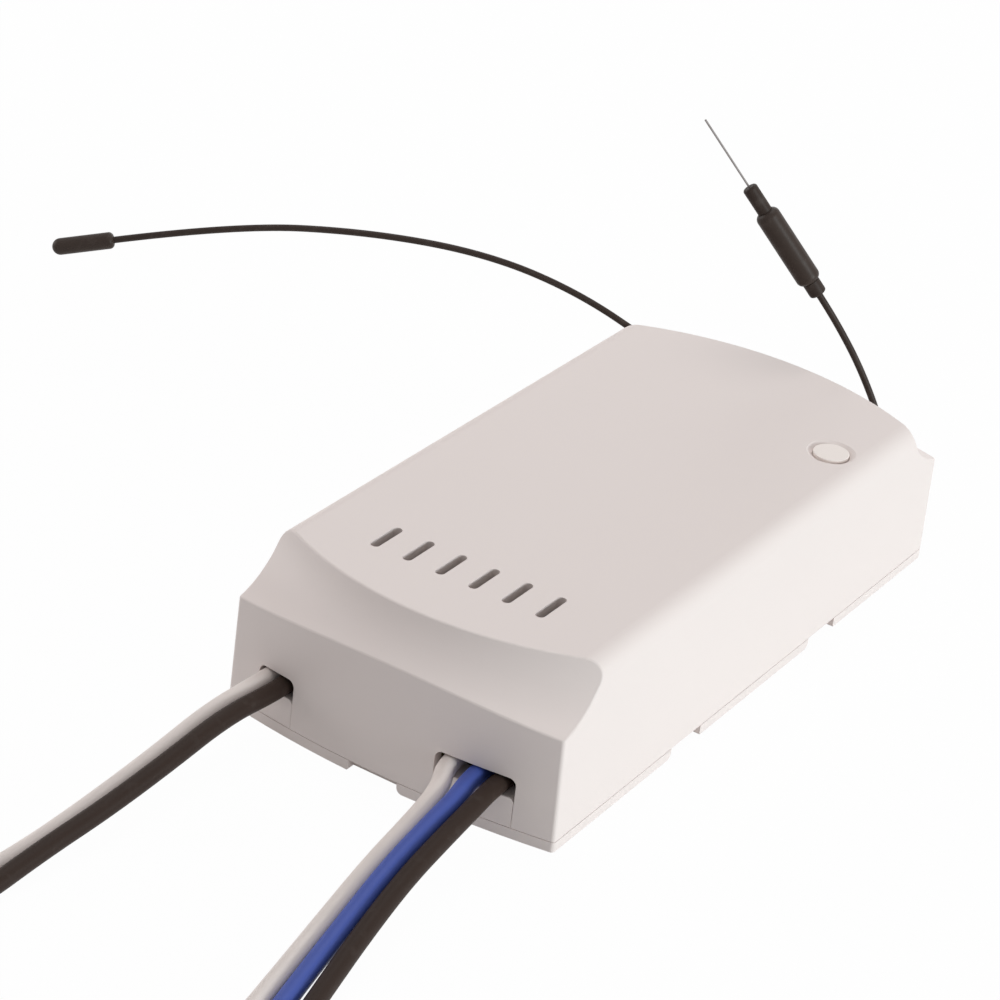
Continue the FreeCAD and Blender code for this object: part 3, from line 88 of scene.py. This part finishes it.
# A material, or the world, under construction
class Finish:
    def __init__(self, name, tree=None):
        self.material = None
        if tree is None:
            self.material = bpy.data.materials.new(name)
            self.material.use_nodes = True
            tree = self.material.node_tree
        self.tree = tree
        self.tree.nodes.clear()
        self.places = None

    def add(self, kind, settings=None, inputs=None, output=0):
        node = self.tree.nodes.new(kind)
        for key, value in (settings or {}).items():
            setattr(node, key, value)
        for key, value in (inputs or {}).items():
            if isinstance(value, Field):
                self.tree.links.new(value.socket, node.inputs[key])
            else:
                node.inputs[key].default_value = value
        return Field(self, node.outputs[output]) if node.outputs else None

    def place(self):
        if self.places is None:
            self.places = self.add("ShaderNodeTexCoord", output="Object")
        return self.places

    def stretched(self, amounts):
        return self.add("ShaderNodeVectorMath", {"operation": "MULTIPLY"}, {0: self.place(), 1: amounts})

    def noise(self, scale, detail=2.0, stretch=None):
        vector = self.stretched(stretch) if stretch else self.place()
        return self.add("ShaderNodeTexNoise", {}, {"Vector": vector, "Scale": scale, "Detail": detail})

    # Distance from the middle of the nearest of many scattered cells, seen from above
    def cells(self, scale, distance="EUCLIDEAN", randomness=1.0):
        settings = {"voronoi_dimensions": "2D", "distance": distance}
        inputs = {"Vector": self.place(), "Scale": scale, "Randomness": randomness}
        return self.add("ShaderNodeTexVoronoi", settings, inputs)

    # A Mix node's sockets 6 and 7 are its two colours, and its output 2 is the mixed one
    def blend(self, amount, first, second):
        inputs = {"Factor": amount}
        for key, colour in ((6, first), (7, second)):
            inputs[key] = colour if isinstance(colour, Field) else rgba(colour)
        return self.add("ShaderNodeMix", {"data_type": "RGBA"}, inputs, 2)

    # A colour that wanders between a darker and a paler shade of itself
    def shades(self, amount, colour, darker, paler):
        return self.blend(amount, tinted(colour, darker), tinted(colour, paler))

    # The depth is in thousandths of a millimetre
    def bump(self, height, depth, strength, normal=None):
        inputs = {"Height": height, "Distance": depth * micron, "Strength": strength}
        if normal:
            inputs["Normal"] = normal
        return self.add("ShaderNodeBump", {}, inputs)

    # One where the ray comes from the camera, a gloss or a clear piece
    def shownRays(self):
        camera = self.add("ShaderNodeLightPath", output="Is Camera Ray")
        mirrored = camera + camera.beside("Is Glossy Ray")
        return mirrored.maths("ADD", mirrored, camera.beside("Is Transmission Ray"), True)

    # How far the surface faces up: 1 on top, -1 underneath
    def upward(self):
        normal = self.add("ShaderNodeNewGeometry", output="Normal")
        return self.add("ShaderNodeSeparateXYZ", {}, {0: normal}, 2)

    def surface(self, shader):
        kind = "ShaderNodeOutputMaterial" if self.material else "ShaderNodeOutputWorld"
        self.add(kind, {}, {"Surface": shader})
        return self.material

    def close(self, inputs):
        return self.surface(self.add("ShaderNodeBsdfPrincipled", {}, inputs))


def rgba(colour):
    return (*colour, 1.0)


def tinted(colour, factor):
    return tuple(min(1.0, value * factor) for value in colour)


def placed(name, data):
    item = bpy.data.objects.new(name, data)
    bpy.context.scene.collection.objects.link(item)
    return item


# Camera: where the photograph was taken from
view = {
    "place": (201.16, -383.01, 255.14),  # mm
    "right": (0.8309, 0.5458, 0.1080),
    "forward": (-0.4377, 0.7611, -0.4786),
    "focal": 3.29641,  # sensor widths
    "sensor": 36.0,  # mm
    "nearest": 0.01,  # m
    "farthest": 20,  # m
}


def makeCamera():
    data = bpy.data.cameras.new("camera")
    data.sensor_width = view["sensor"]
    data.lens = view["focal"] * view["sensor"]
    data.clip_start = view["nearest"]
    data.clip_end = view["farthest"]
    camera = placed("camera", data)
    back = -Vector(view["forward"]).normalized()
    up = back.cross(Vector(view["right"])).normalized()
    across = up.cross(back)
    turn = Matrix((across, up, back)).transposed()
    camera.matrix_world = Matrix.Translation(Vector(view["place"]) * mm) @ turn.to_4x4()
    bpy.context.scene.camera = camera


makeCamera()
print("camera placed")

# Light: a pale room and large soft lamps, all equally far; way is the direction in which a lamp hangs
white = (1.0, 1.0, 1.0)
light = {
    "room": white,
    "roomStrength": 0.34,
    "away": 2.0,
    "lamps": {
        "sideLamp": {"way": (0.985, 0.02, 0.14), "across": 0.8, "power": 28.5, "tint": (0.9, 0.985, 1.0)},
        "topLamp": {"way": (-0.1, 0.2, 0.97), "across": 1.5, "power": 12.9, "tint": (1.0, 0.975, 0.965)},
        "leftLamp": {"way": (-0.95, -0.2, 0.3), "across": 1.2, "power": 9.4, "tint": (1.0, 0.98, 0.97)},
        "backLamp": {"way": (-0.3, 0.9, 0.3), "across": 1.5, "power": 4.7, "tint": white},
    },
}


def makeRoom():
    world = bpy.data.worlds.new("room")
    bpy.context.scene.world = world
    world.use_nodes = True
    room = Finish("room", world.node_tree)
    seen = room.add("ShaderNodeBackground", {}, {"Color": rgba(white), "Strength": 1.0})
    glowing = {"Color": rgba(light["room"]), "Strength": light["roomStrength"]}
    glow = room.add("ShaderNodeBackground", {}, glowing)
    room.surface(room.add("ShaderNodeMixShader", {}, {0: room.shownRays(), 1: glow, 2: seen}))


def makeLamp(name, lamp):
    data = bpy.data.lights.new(name, "AREA")
    data.shape = "DISK"
    data.size = lamp["across"]
    data.energy = lamp["power"]
    data.color = lamp["tint"]
    item = placed(name, data)
    way = Vector(lamp["way"]).normalized()
    item.location = way * light["away"]
    item.rotation_mode = "QUATERNION"
    item.rotation_quaternion = way.to_track_quat("Z", "Y")


makeRoom()
for name, lamp in light["lamps"].items():
    makeLamp(name, lamp)
bpy.context.scene.view_settings.view_transform = "Standard"
print("lamps placed")

# Floor: pale paper, nearly white to the camera, so that it keeps a faint shadow
floor = {"across": 6.0, "drop": 0.02, "colour": (0.86, 0.86, 0.86), "shown": 0.975}


def makeFloor():
    mesh = bpy.data.meshes.new("floor")
    half = floor["across"] / 2
    level = -floor["drop"] * mm
    corners = [(-half, -half, level), (half, -half, level), (half, half, level), (-half, half, level)]
    mesh.from_pydata(corners, [], [(0, 1, 2, 3)])
    item = placed("floor", mesh)
    finish = Finish("floorPaper")
    paper = finish.add("ShaderNodeBsdfDiffuse", {}, {"Color": rgba(floor["colour"])})
    seen = finish.add("ShaderNodeEmission", {}, {"Color": rgba(white), "Strength": 1.0})
    amount = finish.shownRays() * floor["shown"]
    mixed = finish.add("ShaderNodeMixShader", {}, {0: amount, 1: paper, 2: seen})
    mesh.materials.append(finish.surface(mixed))


makeFloor()


def paint(item, material):
    item.data.materials.clear()
    item.data.materials.append(material)


# Moulded plastic of the case: fine matt texture, faint clouds and soft flow marks.
# Here and further down a texture's number is its fineness per metre, its reach is the
# stretch of its noise that shows, and its depth is in thousandths of a millimetre.
casePlastic = {
    "colour": (0.797, 0.715, 0.688),
    "roughness": 0.52,
    "grain": 4200.0,
    "grainDepth": 10.0,
    "cloud": 45.0,
    "flow": 26.0,
}
buttonPlastic = {
    "colour": (0.87, 0.79, 0.745),
    "roughness": 0.4,
    "grain": 3000.0,
    "grainDepth": 4.0,
    "cloud": 150.0,
    "flow": 120.0,
}
plasticSpeck = {"fineness": 900.0, "reach": (0.74, 0.8), "amount": 0.12, "shade": 0.8}


def plasticFinish(name, values):
    finish = Finish(name)
    grain = finish.noise(values["grain"], 3.0)
    cloud = finish.noise(values["cloud"], 3.0)
    flow = finish.noise(values["flow"], 2.0, (1.0, 0.25, 1.0))
    speck = finish.noise(plasticSpeck["fineness"], 2.0).between(*plasticSpeck["reach"])
    body = finish.shades(cloud, values["colour"], 0.985, 1.012)
    darker = tinted(values["colour"], plasticSpeck["shade"])
    return finish.close({
        "Base Color": finish.blend(speck * plasticSpeck["amount"], body, darker),
        "Roughness": values["roughness"] + flow.sway(0.1) + cloud.sway(0.06),
        "Normal": finish.bump(grain, values["grainDepth"], 0.4),
    })


caseFinish = plasticFinish("casePlastic", casePlastic)
for name in ("top_cover", "base_cover"):
    paint(nodes[name], caseFinish)
paint(nodes["button_cap"], plasticFinish("buttonPlastic", buttonPlastic))
print("case painted")

# Cord insulation and antenna jackets: satin, drawn lengthways, with dust and faint rubbing
insulations = {
    "white": {"colour": (0.805, 0.73, 0.695), "roughness": 0.4, "shine": 0.35, "dusty": 0.06},
    "black": {"colour": (0.036, 0.0235, 0.019), "roughness": 0.48, "shine": 0.09, "dusty": 0.03},
    "blue": {"colour": (0.063, 0.102, 0.39), "roughness": 0.44, "shine": 0.22, "dusty": 0.03},
}
insulationTexture = {
    "streak": 900.0,
    "streakDepth": 12.0,
    "speck": 2600.0,
    "speckDepth": 6.0,
    "dust": 420.0,
    "dustReach": (0.56, 0.78),
}
greyDust = (0.5, 0.45, 0.42)


def insulationFinish(name, values):
    finish = Finish(name)
    streak = finish.noise(insulationTexture["streak"], 2.0, (1.0, 0.06, 1.0))
    speck = finish.noise(insulationTexture["speck"], 2.0)
    dust = finish.noise(insulationTexture["dust"], 4.0).between(*insulationTexture["dustReach"])
    body = finish.shades(streak, values["colour"], 0.93, 1.05)
    rubbed = finish.bump(streak, insulationTexture["streakDepth"], 0.3)
    return finish.close({
        "Base Color": finish.blend(dust * values["dusty"], body, greyDust),
        "Roughness": values["roughness"] + speck.sway(0.12) + dust * 0.1,
        "Specular IOR Level": values["shine"],
        "Normal": finish.bump(speck, insulationTexture["speckDepth"], 0.4, rubbed),
    })


insulationFinishes = {
    colour: insulationFinish(f"{colour}Insulation", values) for colour, values in insulations.items()
}

# Bare metal: drawn or rolled lines along one axis, with a little tarnish
tarnish = {"fineness": 380.0, "reach": (0.5, 0.8), "amount": 0.22, "colour": (0.35, 0.33, 0.3)}
lineDepth = 8.0
tinnedWire = {
    "colour": (0.70, 0.67, 0.63),
    "roughness": 0.34,
    "lines": (1.0, 0.1, 1.0),
    "lineFineness": 5200.0,
    "metallic": 1.0,
}


def metalFinish(name, values):
    finish = Finish(name)
    line = finish.noise(values["lineFineness"], 2.0, values["lines"])
    patch = finish.noise(tarnish["fineness"], 3.0).between(*tarnish["reach"])
    body = finish.shades(line, values["colour"], 0.88, 1.06)
    return finish.close({
        "Base Color": finish.blend(patch * tarnish["amount"], body, tarnish["colour"]),
        "Metallic": values["metallic"],
        "Roughness": values["roughness"] + line.sway(0.14) + patch * 0.12,
        "Normal": finish.bump(line, lineDepth, 0.35),
    })


tinnedFinish = metalFinish("tinnedWire", tinnedWire)

# Leads: exit and route of each in mm, the route as steps to the side, out from the end wall, and up
exitHeight = 7.8
floorHeight = 1.42
endWall = -58.0
leadJoint = -53.5
wire = {"diameter": 2.8, "length": 150.0, "stripped": 8.0}
leads = {
    "white_supply_lead": {
        "exit": -20.45,
        "route": [
            (0, 0.5, exitHeight), (-1.1, 10, 7.25), (-1.4, 22, 5.35), (-2.35, 33.5, 3.3), (-3.35, 45, 1.7),
            (-4.25, 57, floorHeight), (-5.25, 74, floorHeight), (-6.9, 92, floorHeight),
            (-8.9, 110, floorHeight), (-10.3, 125.5, floorHeight), (-11, 140.5, floorHeight),
        ],
    },
    "black_supply_lead": {
        "exit": -17.55,
        "route": [
            (0, 0.7, exitHeight), (-1.1, 10.5, 7.9), (-1.55, 23, 6.05), (-2.55, 34.5, 4.1), (-3.65, 46, 2.85),
            (-4.25, 58.5, floorHeight), (-5.25, 75, floorHeight), (-5.3, 93, floorHeight),
            (-4.3, 110.5, floorHeight), (-3.6, 126, floorHeight), (-3.3, 141, floorHeight),
        ],
    },
    "white_fan_lead": {
        "exit": 10.67,
        "route": [
            (0, -0.3, exitHeight), (2.48, 4.5, 7.5), (3.43, 11.8, 6.75), (4.03, 22.5, 5.2), (5.18, 33.5, 3.4),
            (6.68, 45, 2), (8.63, 57, floorHeight), (10.63, 73.5, floorHeight), (12.03, 91.5, floorHeight),
            (13.03, 109, floorHeight), (14.23, 124, floorHeight), (15.83, 139.6, floorHeight),
        ],
    },
    "blue_light_lead": {
        "exit": 15.1,
        "route": [
            (0, 0, exitHeight), (1.35, 5.8, 7.85), (1.85, 12.3, 7.45), (2.4, 22.5, 6.05), (3.6, 33.5, 3.95),
            (5.25, 45.5, 2.3), (7.45, 57.5, floorHeight), (10, 74, floorHeight), (12.3, 91.5, floorHeight),
            (14.7, 109, floorHeight), (16.8, 124.5, floorHeight), (18.8, 139.8, floorHeight),
        ],
    },
    "black_fan_lead": {
        "exit": 18.6,
        "route": [
            (0, 0.2, exitHeight), (0.75, 5.8, 7.85), (1.35, 12.6, 7.55), (1.85, 23, 6.1), (3.15, 34.5, 3.9),
            (5.15, 46, 2.2), (7.7, 58, floorHeight), (10.6, 74, floorHeight), (14.4, 90.5, floorHeight),
            (18.4, 107, floorHeight), (22, 122.5, floorHeight), (25, 138.2, floorHeight),
        ],
    },
}


def smoothCurve(name, points, radius):
    data = bpy.data.curves.new(name, "CURVE")
    data.dimensions = "3D"
    data.bevel_depth = 1.0  # times each point's radius, which is the real one
    data.bevel_resolution = 8
    data.resolution_u = 16
    data.use_fill_caps = True
    spline = data.splines.new("NURBS")
    spline.points.add(len(points) - 1)
    for bend, point in zip(spline.points, points):
        bend.co = (*[value * mm for value in point], 1.0)
        bend.radius = radius
    spline.order_u = 3
    spline.use_endpoint_u = True
    item = placed(name, data)
    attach(item, "case")
    return item


# A bare end, in mm: rings of twisted strands as (how many, how many strand radii out).
# The strands start inside the insulation and end a little unevenly.
bareEnd = {
    "rings": ((1, 0.0), (6, 2.0), (12, 4.0)),
    "radius": 0.6,
    "strandsAcross": 5,
    "twist": 14.0,
    "tucked": 0.6,
    "uneven": 0.25,
    "unevenTurn": 5.3,
    "thickness": 0.99,
    "tipThickness": 0.6,
    "sides": 8,
    "steps": 26,
}


def strandedEnd(name, start, way):
    sides = bareEnd["sides"]
    steps = bareEnd["steps"]
    strand = bareEnd["radius"] / bareEnd["strandsAcross"] * mm
    axis = Vector(way).normalized()
    side = axis.cross(Vector((0, 0, 1))).normalized()
    over = side.cross(axis)
    first = Vector(start) * mm - axis * bareEnd["tucked"] * mm
    span = (wire["stripped"] + bareEnd["tucked"]) * mm
    points = []
    faces = []

    def outward(angle):
        return side * math.cos(angle) + over * math.sin(angle)

    def addStrand(reach, place, ring):
        base = len(points)
        for step in range(steps + 1):
            along = reach * step / steps
            turn = 2 * math.pi * (place + along / (bareEnd["twist"] * mm))
            centre = first + axis * along + outward(turn) * ring * strand
            width = strand * (bareEnd["thickness"] if step < steps else bareEnd["tipThickness"])
            points.extend(centre + outward(2 * math.pi * corner / sides) * width for corner in range(sides))
        for step in range(steps):
            for corner in range(sides):
                here = base + step * sides + corner
                beside = base + step * sides + (corner + 1) % sides
                faces.append((here, beside, beside + sides, here + sides))
        faces.append([base + steps * sides + corner for corner in range(sides)])

    spots = [(index / number, ring) for number, ring in bareEnd["rings"] for index in range(number)]
    for count, (place, ring) in enumerate(spots):
        short = bareEnd["uneven"] * mm * (0.5 + 0.5 * math.sin(bareEnd["unevenTurn"] * count))
        addStrand(span - short, place, ring)
    mesh = bpy.data.meshes.new(name)
    mesh.from_pydata(points, [], faces)
    mesh.polygons.foreach_set("use_smooth", [True] * len(mesh.polygons))
    item = placed(name, mesh)
    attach(item, "case")
    paint(item, tinnedFinish)
    return item


def makeLead(name, lead):
    colour = name.split("_")[0]
    points = [(lead["exit"], leadJoint, exitHeight)]
    points += [(lead["exit"] + side, endWall - out, up) for side, out, up in lead["route"]]
    item = smoothCurve(f"{name}_insulation", points, wire["diameter"] / 2 * mm)
    item.data.materials.append(insulationFinishes[colour])
    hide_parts(name)
    strands = strandedEnd(f"{name}_strands", points[-1], Vector(points[-1]) - Vector(points[-2]))
    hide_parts(f"{name}_end")


for name, lead in leads.items():
    makeLead(name, lead)
print("leads laid")

# Antennas: the cables' routes in the case's frame, in mm
cableDiameter = 1.13
antennas = {
    "radio_antenna_cable": [
        (-17.0, 42.804, 9.095), (-17.0, 48.6, 9.095), (-18.0, 54.2, 9.5), (-18.0, 64.0, 9.5),
        (-22.5, 67.5, 10.2), (-30.0, 66.3, 13.0), (-43.6, 60.2, 20.7), (-56.3, 49.6, 27.0),
        (-74.1, 40.3, 27.9), (-93.1, 29.7, 26.1), (-110.6, 19.0, 20.8),
    ],
    "wifi_antenna_cable": [
        (12.3, 46.002, 8.05), (12.3, 49.6, 8.05), (14.0, 54.6, 9.5), (14.0, 62.5, 9.5),
        (13.4, 65.3, 14.0), (8.6, 63.5, 23.8), (4.2, 59.3, 33.0), (1.25, 58.0, 36.85),
    ],
}
jacket = {"colour": (0.038, 0.0265, 0.022), "roughness": 0.45, "shine": 0.12, "dusty": 0.06}
rod = {
    "colour": (0.27, 0.245, 0.24),
    "roughness": 0.55,
    "lines": (1.0, 1.0, 0.1),
    "lineFineness": 4000.0,
    "metallic": 0.5,
}
sleeve = {
    "colour": (0.045, 0.032, 0.0265),
    "roughness": 0.4,
    "shine": 0.13,
    "wrinkle": 1400.0,
    "wrinkleDepth": 40.0,
    "speck": 3000.0,
    "speckDepth": 6.0,
    "dust": 500.0,
    "dustReach": (0.55, 0.8),
    "dusty": 0.04,
}


# Shrunk sleeve: as dark as the jacket, with faint wrinkles
def sleeveFinish(name, values):
    finish = Finish(name)
    wrinkle = finish.noise(values["wrinkle"], 3.0, (0.35, 0.35, 1.0))
    speck = finish.noise(values["speck"], 2.0)
    dust = finish.noise(values["dust"], 4.0).between(*values["dustReach"])
    body = finish.shades(wrinkle, values["colour"], 0.9, 1.12)
    wrinkled = finish.bump(wrinkle, values["wrinkleDepth"], 0.4)
    return finish.close({
        "Base Color": finish.blend(dust * values["dusty"], body, greyDust),
        "Roughness": values["roughness"] + speck.sway(0.14),
        "Specular IOR Level": values["shine"],
        "Normal": finish.bump(speck, values["speckDepth"], 0.4, wrinkled),
    })


jacketFinish = insulationFinish("antennaJacket", jacket)
for name, route in antennas.items():
    cable = smoothCurve(f"{name}_jacket", route, cableDiameter / 2 * mm)
    cable.data.materials.append(jacketFinish)
    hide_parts(name)
paint(nodes["wifi_antenna_tube"], jacketFinish)
for name in ("radio_antenna_cap", "wifi_antenna_sleeve"):
    paint(nodes[name], sleeveFinish(f"{name}Shrink", sleeve))
paint(nodes["wifi_antenna_rod"], metalFinish("antennaRod", rod))
print("antennas bent")

# Wires and solder inside the case
innerLeads = {"white": "inner_leads_white", "black": "inner_leads_black", "blue": "inner_lead_blue"}
for colour, name in innerLeads.items():
    paint(nodes[name], insulationFinishes[colour])
paint(nodes["inner_lead_wires"], tinnedFinish)
solder = {
    "colour": (0.74, 0.74, 0.75),
    "roughness": 0.24,
    "pool": 1500.0,
    "poolDepth": 40.0,
    "flux": 700.0,
    "fluxReach": (0.55, 0.75),
    "fluxColour": (0.42, 0.3, 0.14),
}


def solderFinish(name, values):
    finish = Finish(name)
    pool = finish.noise(values["pool"], 2.0)
    flux = finish.noise(values["flux"], 3.0).between(*values["fluxReach"])
    return finish.close({
        "Base Color": finish.blend(flux * 0.4, values["colour"], values["fluxColour"]),
        "Metallic": 1.0 - flux * 0.3,
        "Roughness": values["roughness"] + pool.sway(0.16),
        "Normal": finish.bump(pool, values["poolDepth"], 0.5),
    })


solderedFinish = solderFinish("solder", solder)
for name in ("solder_joints", "antenna_solder"):
    paint(nodes[name], solderedFinish)

# Circuit boards: a solder mask over copper tracks and pours, with vias, and bare laminate at the cut edges
mainBoard = {
    "mask": (0.012, 0.13, 0.045),
    "copper": (0.03, 0.24, 0.075),
    "laminate": (0.42, 0.36, 0.16),
    "track": 260.0,
    "via": 330.0,
}
moduleBoard = {
    "mask": (0.008, 0.02, 0.075),
    "copper": (0.02, 0.05, 0.15),
    "laminate": (0.2, 0.18, 0.1),
    "track": 520.0,
    "via": 700.0,
}
board = {
    "trackRandomness": 0.55,
    "tracksPerCell": 3.2,
    "trackAbove": 0.52,
    "pourSize": 0.2,
    "pourAbove": 0.54,
    "viaRadius": 0.14,
    "viaColour": (0.62, 0.55, 0.4),
    "weave": 2400.0,
    "grain": 1600.0,
    "grainDepth": 6.0,
    "copperDepth": 40.0,
    "faceAbove": 0.7,
    "roughness": 0.62,
}


def boardFinish(name, values):
    finish = Finish(name)
    cells = finish.cells(values["track"], "CHEBYCHEV", board["trackRandomness"])
    track = cells.maths("FRACT", cells * board["tracksPerCell"], 0.0) > board["trackAbove"]
    pour = finish.noise(values["track"] * board["pourSize"], 1.0) > board["pourAbove"]
    copper = track.maths("MAXIMUM", track, pour)
    via = 1.0 - (finish.cells(values["via"]) > board["viaRadius"])
    upward = finish.upward()
    face = upward.maths("ABSOLUTE", upward, 0.0) > board["faceAbove"]
    mask = finish.blend(copper, values["mask"], values["copper"])
    mask = finish.blend(via, mask, board["viaColour"])
    weave = finish.noise(board["weave"], 2.0, (0.2, 0.2, 1.0))
    edge = finish.shades(weave, values["laminate"], 0.8, 1.15)
    grained = finish.bump(finish.noise(board["grain"], 2.0), board["grainDepth"], 0.4)
    return finish.close({
        "Base Color": finish.blend(face, edge, mask),
        "Roughness": board["roughness"] - face * 0.32 + via * 0.06,
        "Normal": finish.bump(copper, board["copperDepth"], 0.6, grained),
    })


mainFinish = boardFinish("mainLaminate", mainBoard)
for name in ("main_board", "radio_receiver_board"):
    paint(nodes[name], mainFinish)
paint(nodes["wifi_module_board"], boardFinish("moduleLaminate", moduleBoard))

# Moulded and dipped parts: colour, roughness, how deep the surface grain is, and how fine
chipBlack = {"colour": (0.022, 0.022, 0.023), "roughness": 0.52, "depth": 10.0, "grain": 3400.0}
capacitorGrain = {"depth": 8.0, "grain": 1800.0}
mouldings = {
    "relays": {"colour": (0.02, 0.1, 0.42), "roughness": 0.3, "depth": 6.0, "grain": 2400.0},
    "speed_capacitors": {"colour": (0.42, 0.41, 0.38), "roughness": 0.38, **capacitorGrain},
    "safety_capacitor": {"colour": (0.62, 0.4, 0.035), "roughness": 0.35, **capacitorGrain},
    "varistor": {"colour": (0.02, 0.09, 0.3), "roughness": 0.28, "depth": 40.0, "grain": 500.0},
    "fuse": {"colour": (0.06, 0.17, 0.09), "roughness": 0.34, "depth": 20.0, "grain": 700.0},
    "transformer_core": {"colour": (0.055, 0.053, 0.052), "roughness": 0.62, "depth": 20.0, "grain": 2600.0},
    "bridge_rectifier": {"colour": (0.022, 0.022, 0.023), "roughness": 0.5, "depth": 10.0, "grain": 3000.0},
    "buzzer": {"colour": (0.02, 0.02, 0.021), "roughness": 0.42, "depth": 10.0, "grain": 2000.0},
    "driver_chip": chipBlack,
    "voltage_regulator": chipBlack,
    "receiver_header": {"colour": (0.02, 0.02, 0.021), "roughness": 0.45, "depth": 10.0, "grain": 2600.0},
    "receiver_chip": chipBlack,
    "switch_body": {"colour": (0.02, 0.02, 0.021), "roughness": 0.46, "depth": 10.0, "grain": 2600.0},
    "switch_plunger": {"colour": (0.025, 0.024, 0.024), "roughness": 0.4, "depth": 6.0, "grain": 2600.0},
}
mouldedTexture = {
    "patch": 240.0,
    "dust": 620.0,
    "dustReach": (0.56, 0.8),
    "dusty": 0.08,
    "dustColour": (0.45, 0.43, 0.4),
}


def mouldedFinish(name, values):
    finish = Finish(name)
    grain = finish.noise(values["grain"], 3.0)
    patch = finish.noise(mouldedTexture["patch"], 3.0)
    dust = finish.noise(mouldedTexture["dust"], 4.0).between(*mouldedTexture["dustReach"])
    body = finish.shades(patch, values["colour"], 0.88, 1.1)
    return finish.close({
        "Base Color": finish.blend(dust * mouldedTexture["dusty"], body, mouldedTexture["dustColour"]),
        "Roughness": values["roughness"] + patch.sway(0.1) + dust * 0.1,
        "Normal": finish.bump(grain, values["depth"], 0.5),
    })


for name, values in mouldings.items():
    paint(nodes[name], mouldedFinish(f"{name}Moulding", values))

# Sleeved cans: dark sleeve round the side, bare aluminium on the top
cans = {
    "sleeve": (0.012, 0.012, 0.016),
    "top": (0.68, 0.68, 0.69),
    "topAbove": 0.93,
    "roughness": 0.3,
    "wrinkle": 900.0,
    "wrinkleDepth": 20.0,
    "scratch": 2600.0,
    "scratchDepth": 6.0,
}


def canFinish(name, values):
    finish = Finish(name)
    top = finish.upward() > values["topAbove"]
    wrinkle = finish.noise(values["wrinkle"], 2.0, (1.0, 1.0, 0.2))
    scratch = finish.noise(values["scratch"], 2.0, (0.15, 1.0, 1.0))
    wrap = finish.shades(wrinkle, values["sleeve"], 0.8, 1.5)
    metal = finish.shades(scratch, values["top"], 0.85, 1.08)
    wrinkled = finish.bump(wrinkle, values["wrinkleDepth"], 0.4)
    return finish.close({
        "Base Color": finish.blend(top, wrap, metal),
        "Metallic": top,
        "Roughness": values["roughness"] + scratch.sway(0.1) + top * 0.05,
        "Normal": finish.bump(scratch, values["scratchDepth"], 0.3, wrinkled),
    })


sleevedFinish = canFinish("sleevedCan", cans)
for name in ("bulk_capacitor", "output_capacitors", "choke"):
    paint(nodes[name], sleevedFinish)

# Transformer winding: turns of yellow tape with the copper's ridges showing through
winding = {
    "tape": (0.62, 0.42, 0.03),
    "edge": (0.4, 0.2, 0.04),
    "turns": 2600.0,
    "turnsPerRidge": 6,
    "unevenness": 0.4,
    "ridgeDepth": 50.0,
    "gloss": 600.0,
    "roughness": 0.3,
}


def windingFinish(name, values):
    finish = Finish(name)
    settings = {"wave_type": "BANDS", "bands_direction": "Y", "wave_profile": "SIN"}
    inputs = {
        "Vector": finish.place(),
        "Scale": values["turns"] / values["turnsPerRidge"],
        "Distortion": values["unevenness"],
        "Detail": 1.0,
    }
    ridge = finish.add("ShaderNodeTexWave", settings, inputs)
    gloss = finish.noise(values["gloss"], 2.0)
    return finish.close({
        "Base Color": finish.blend(ridge * 0.5, values["tape"], values["edge"]),
        "Roughness": values["roughness"] + gloss.sway(0.12),
        "Normal": finish.bump(ridge, values["ridgeDepth"], 0.5),
    })


paint(nodes["transformer_winding"], windingFinish("windingTape", winding))

# Sheet metal, plated contacts and screws
sheetMetal = {"lineFineness": 1800.0, "metallic": 1.0}
metals = {
    "wifi_shield_can": {"colour": (0.66, 0.65, 0.63), "roughness": 0.3, "lines": (1.0, 0.08, 1.0)},
    "receiver_crystal": {"colour": (0.7, 0.69, 0.67), "roughness": 0.25, "lines": (1.0, 0.1, 1.0)},
    "switch_frame": {"colour": (0.62, 0.61, 0.6), "roughness": 0.3, "lines": (0.1, 1.0, 1.0)},
    "switch_dome": {"colour": (0.64, 0.62, 0.58), "roughness": 0.26, "lines": (1.0, 1.0, 1.0)},
    "switch_legs": {"colour": (0.66, 0.65, 0.64), "roughness": 0.34, "lines": (1.0, 1.0, 0.1)},
    "coax_socket": {"colour": (0.72, 0.52, 0.2), "roughness": 0.24, "lines": (1.0, 1.0, 0.2)},
    "coax_plug": {"colour": (0.72, 0.52, 0.2), "roughness": 0.28, "lines": (1.0, 1.0, 0.2)},
    "board_screws": {"colour": (0.6, 0.6, 0.61), "roughness": 0.22, "lines": (1.0, 1.0, 1.0)},
}
for name, values in metals.items():
    paint(nodes[name], metalFinish(f"{name}Metal", {**sheetMetal, **values}))

# Status light: a milky lens
lens = {
    "colour": (0.78, 0.8, 0.74),
    "roughness": 0.16,
    "haze": 1200.0,
    "hazeDepth": 6.0,
    "milkiness": 0.4,
    "glowReach": (0.001, 0.001, 0.001),  # m
}


def lensFinish(name, values):
    finish = Finish(name)
    haze = finish.noise(values["haze"], 3.0)
    return finish.close({
        "Base Color": finish.shades(haze, values["colour"], 0.9, 1.08),
        "Roughness": values["roughness"] + haze.sway(0.1),
        "Subsurface Weight": values["milkiness"],
        "Subsurface Radius": values["glowReach"],
        "Normal": finish.bump(haze, values["hazeDepth"], 0.3),
    })


paint(nodes["status_led"], lensFinish("ledLens", lens))
print("inside painted")
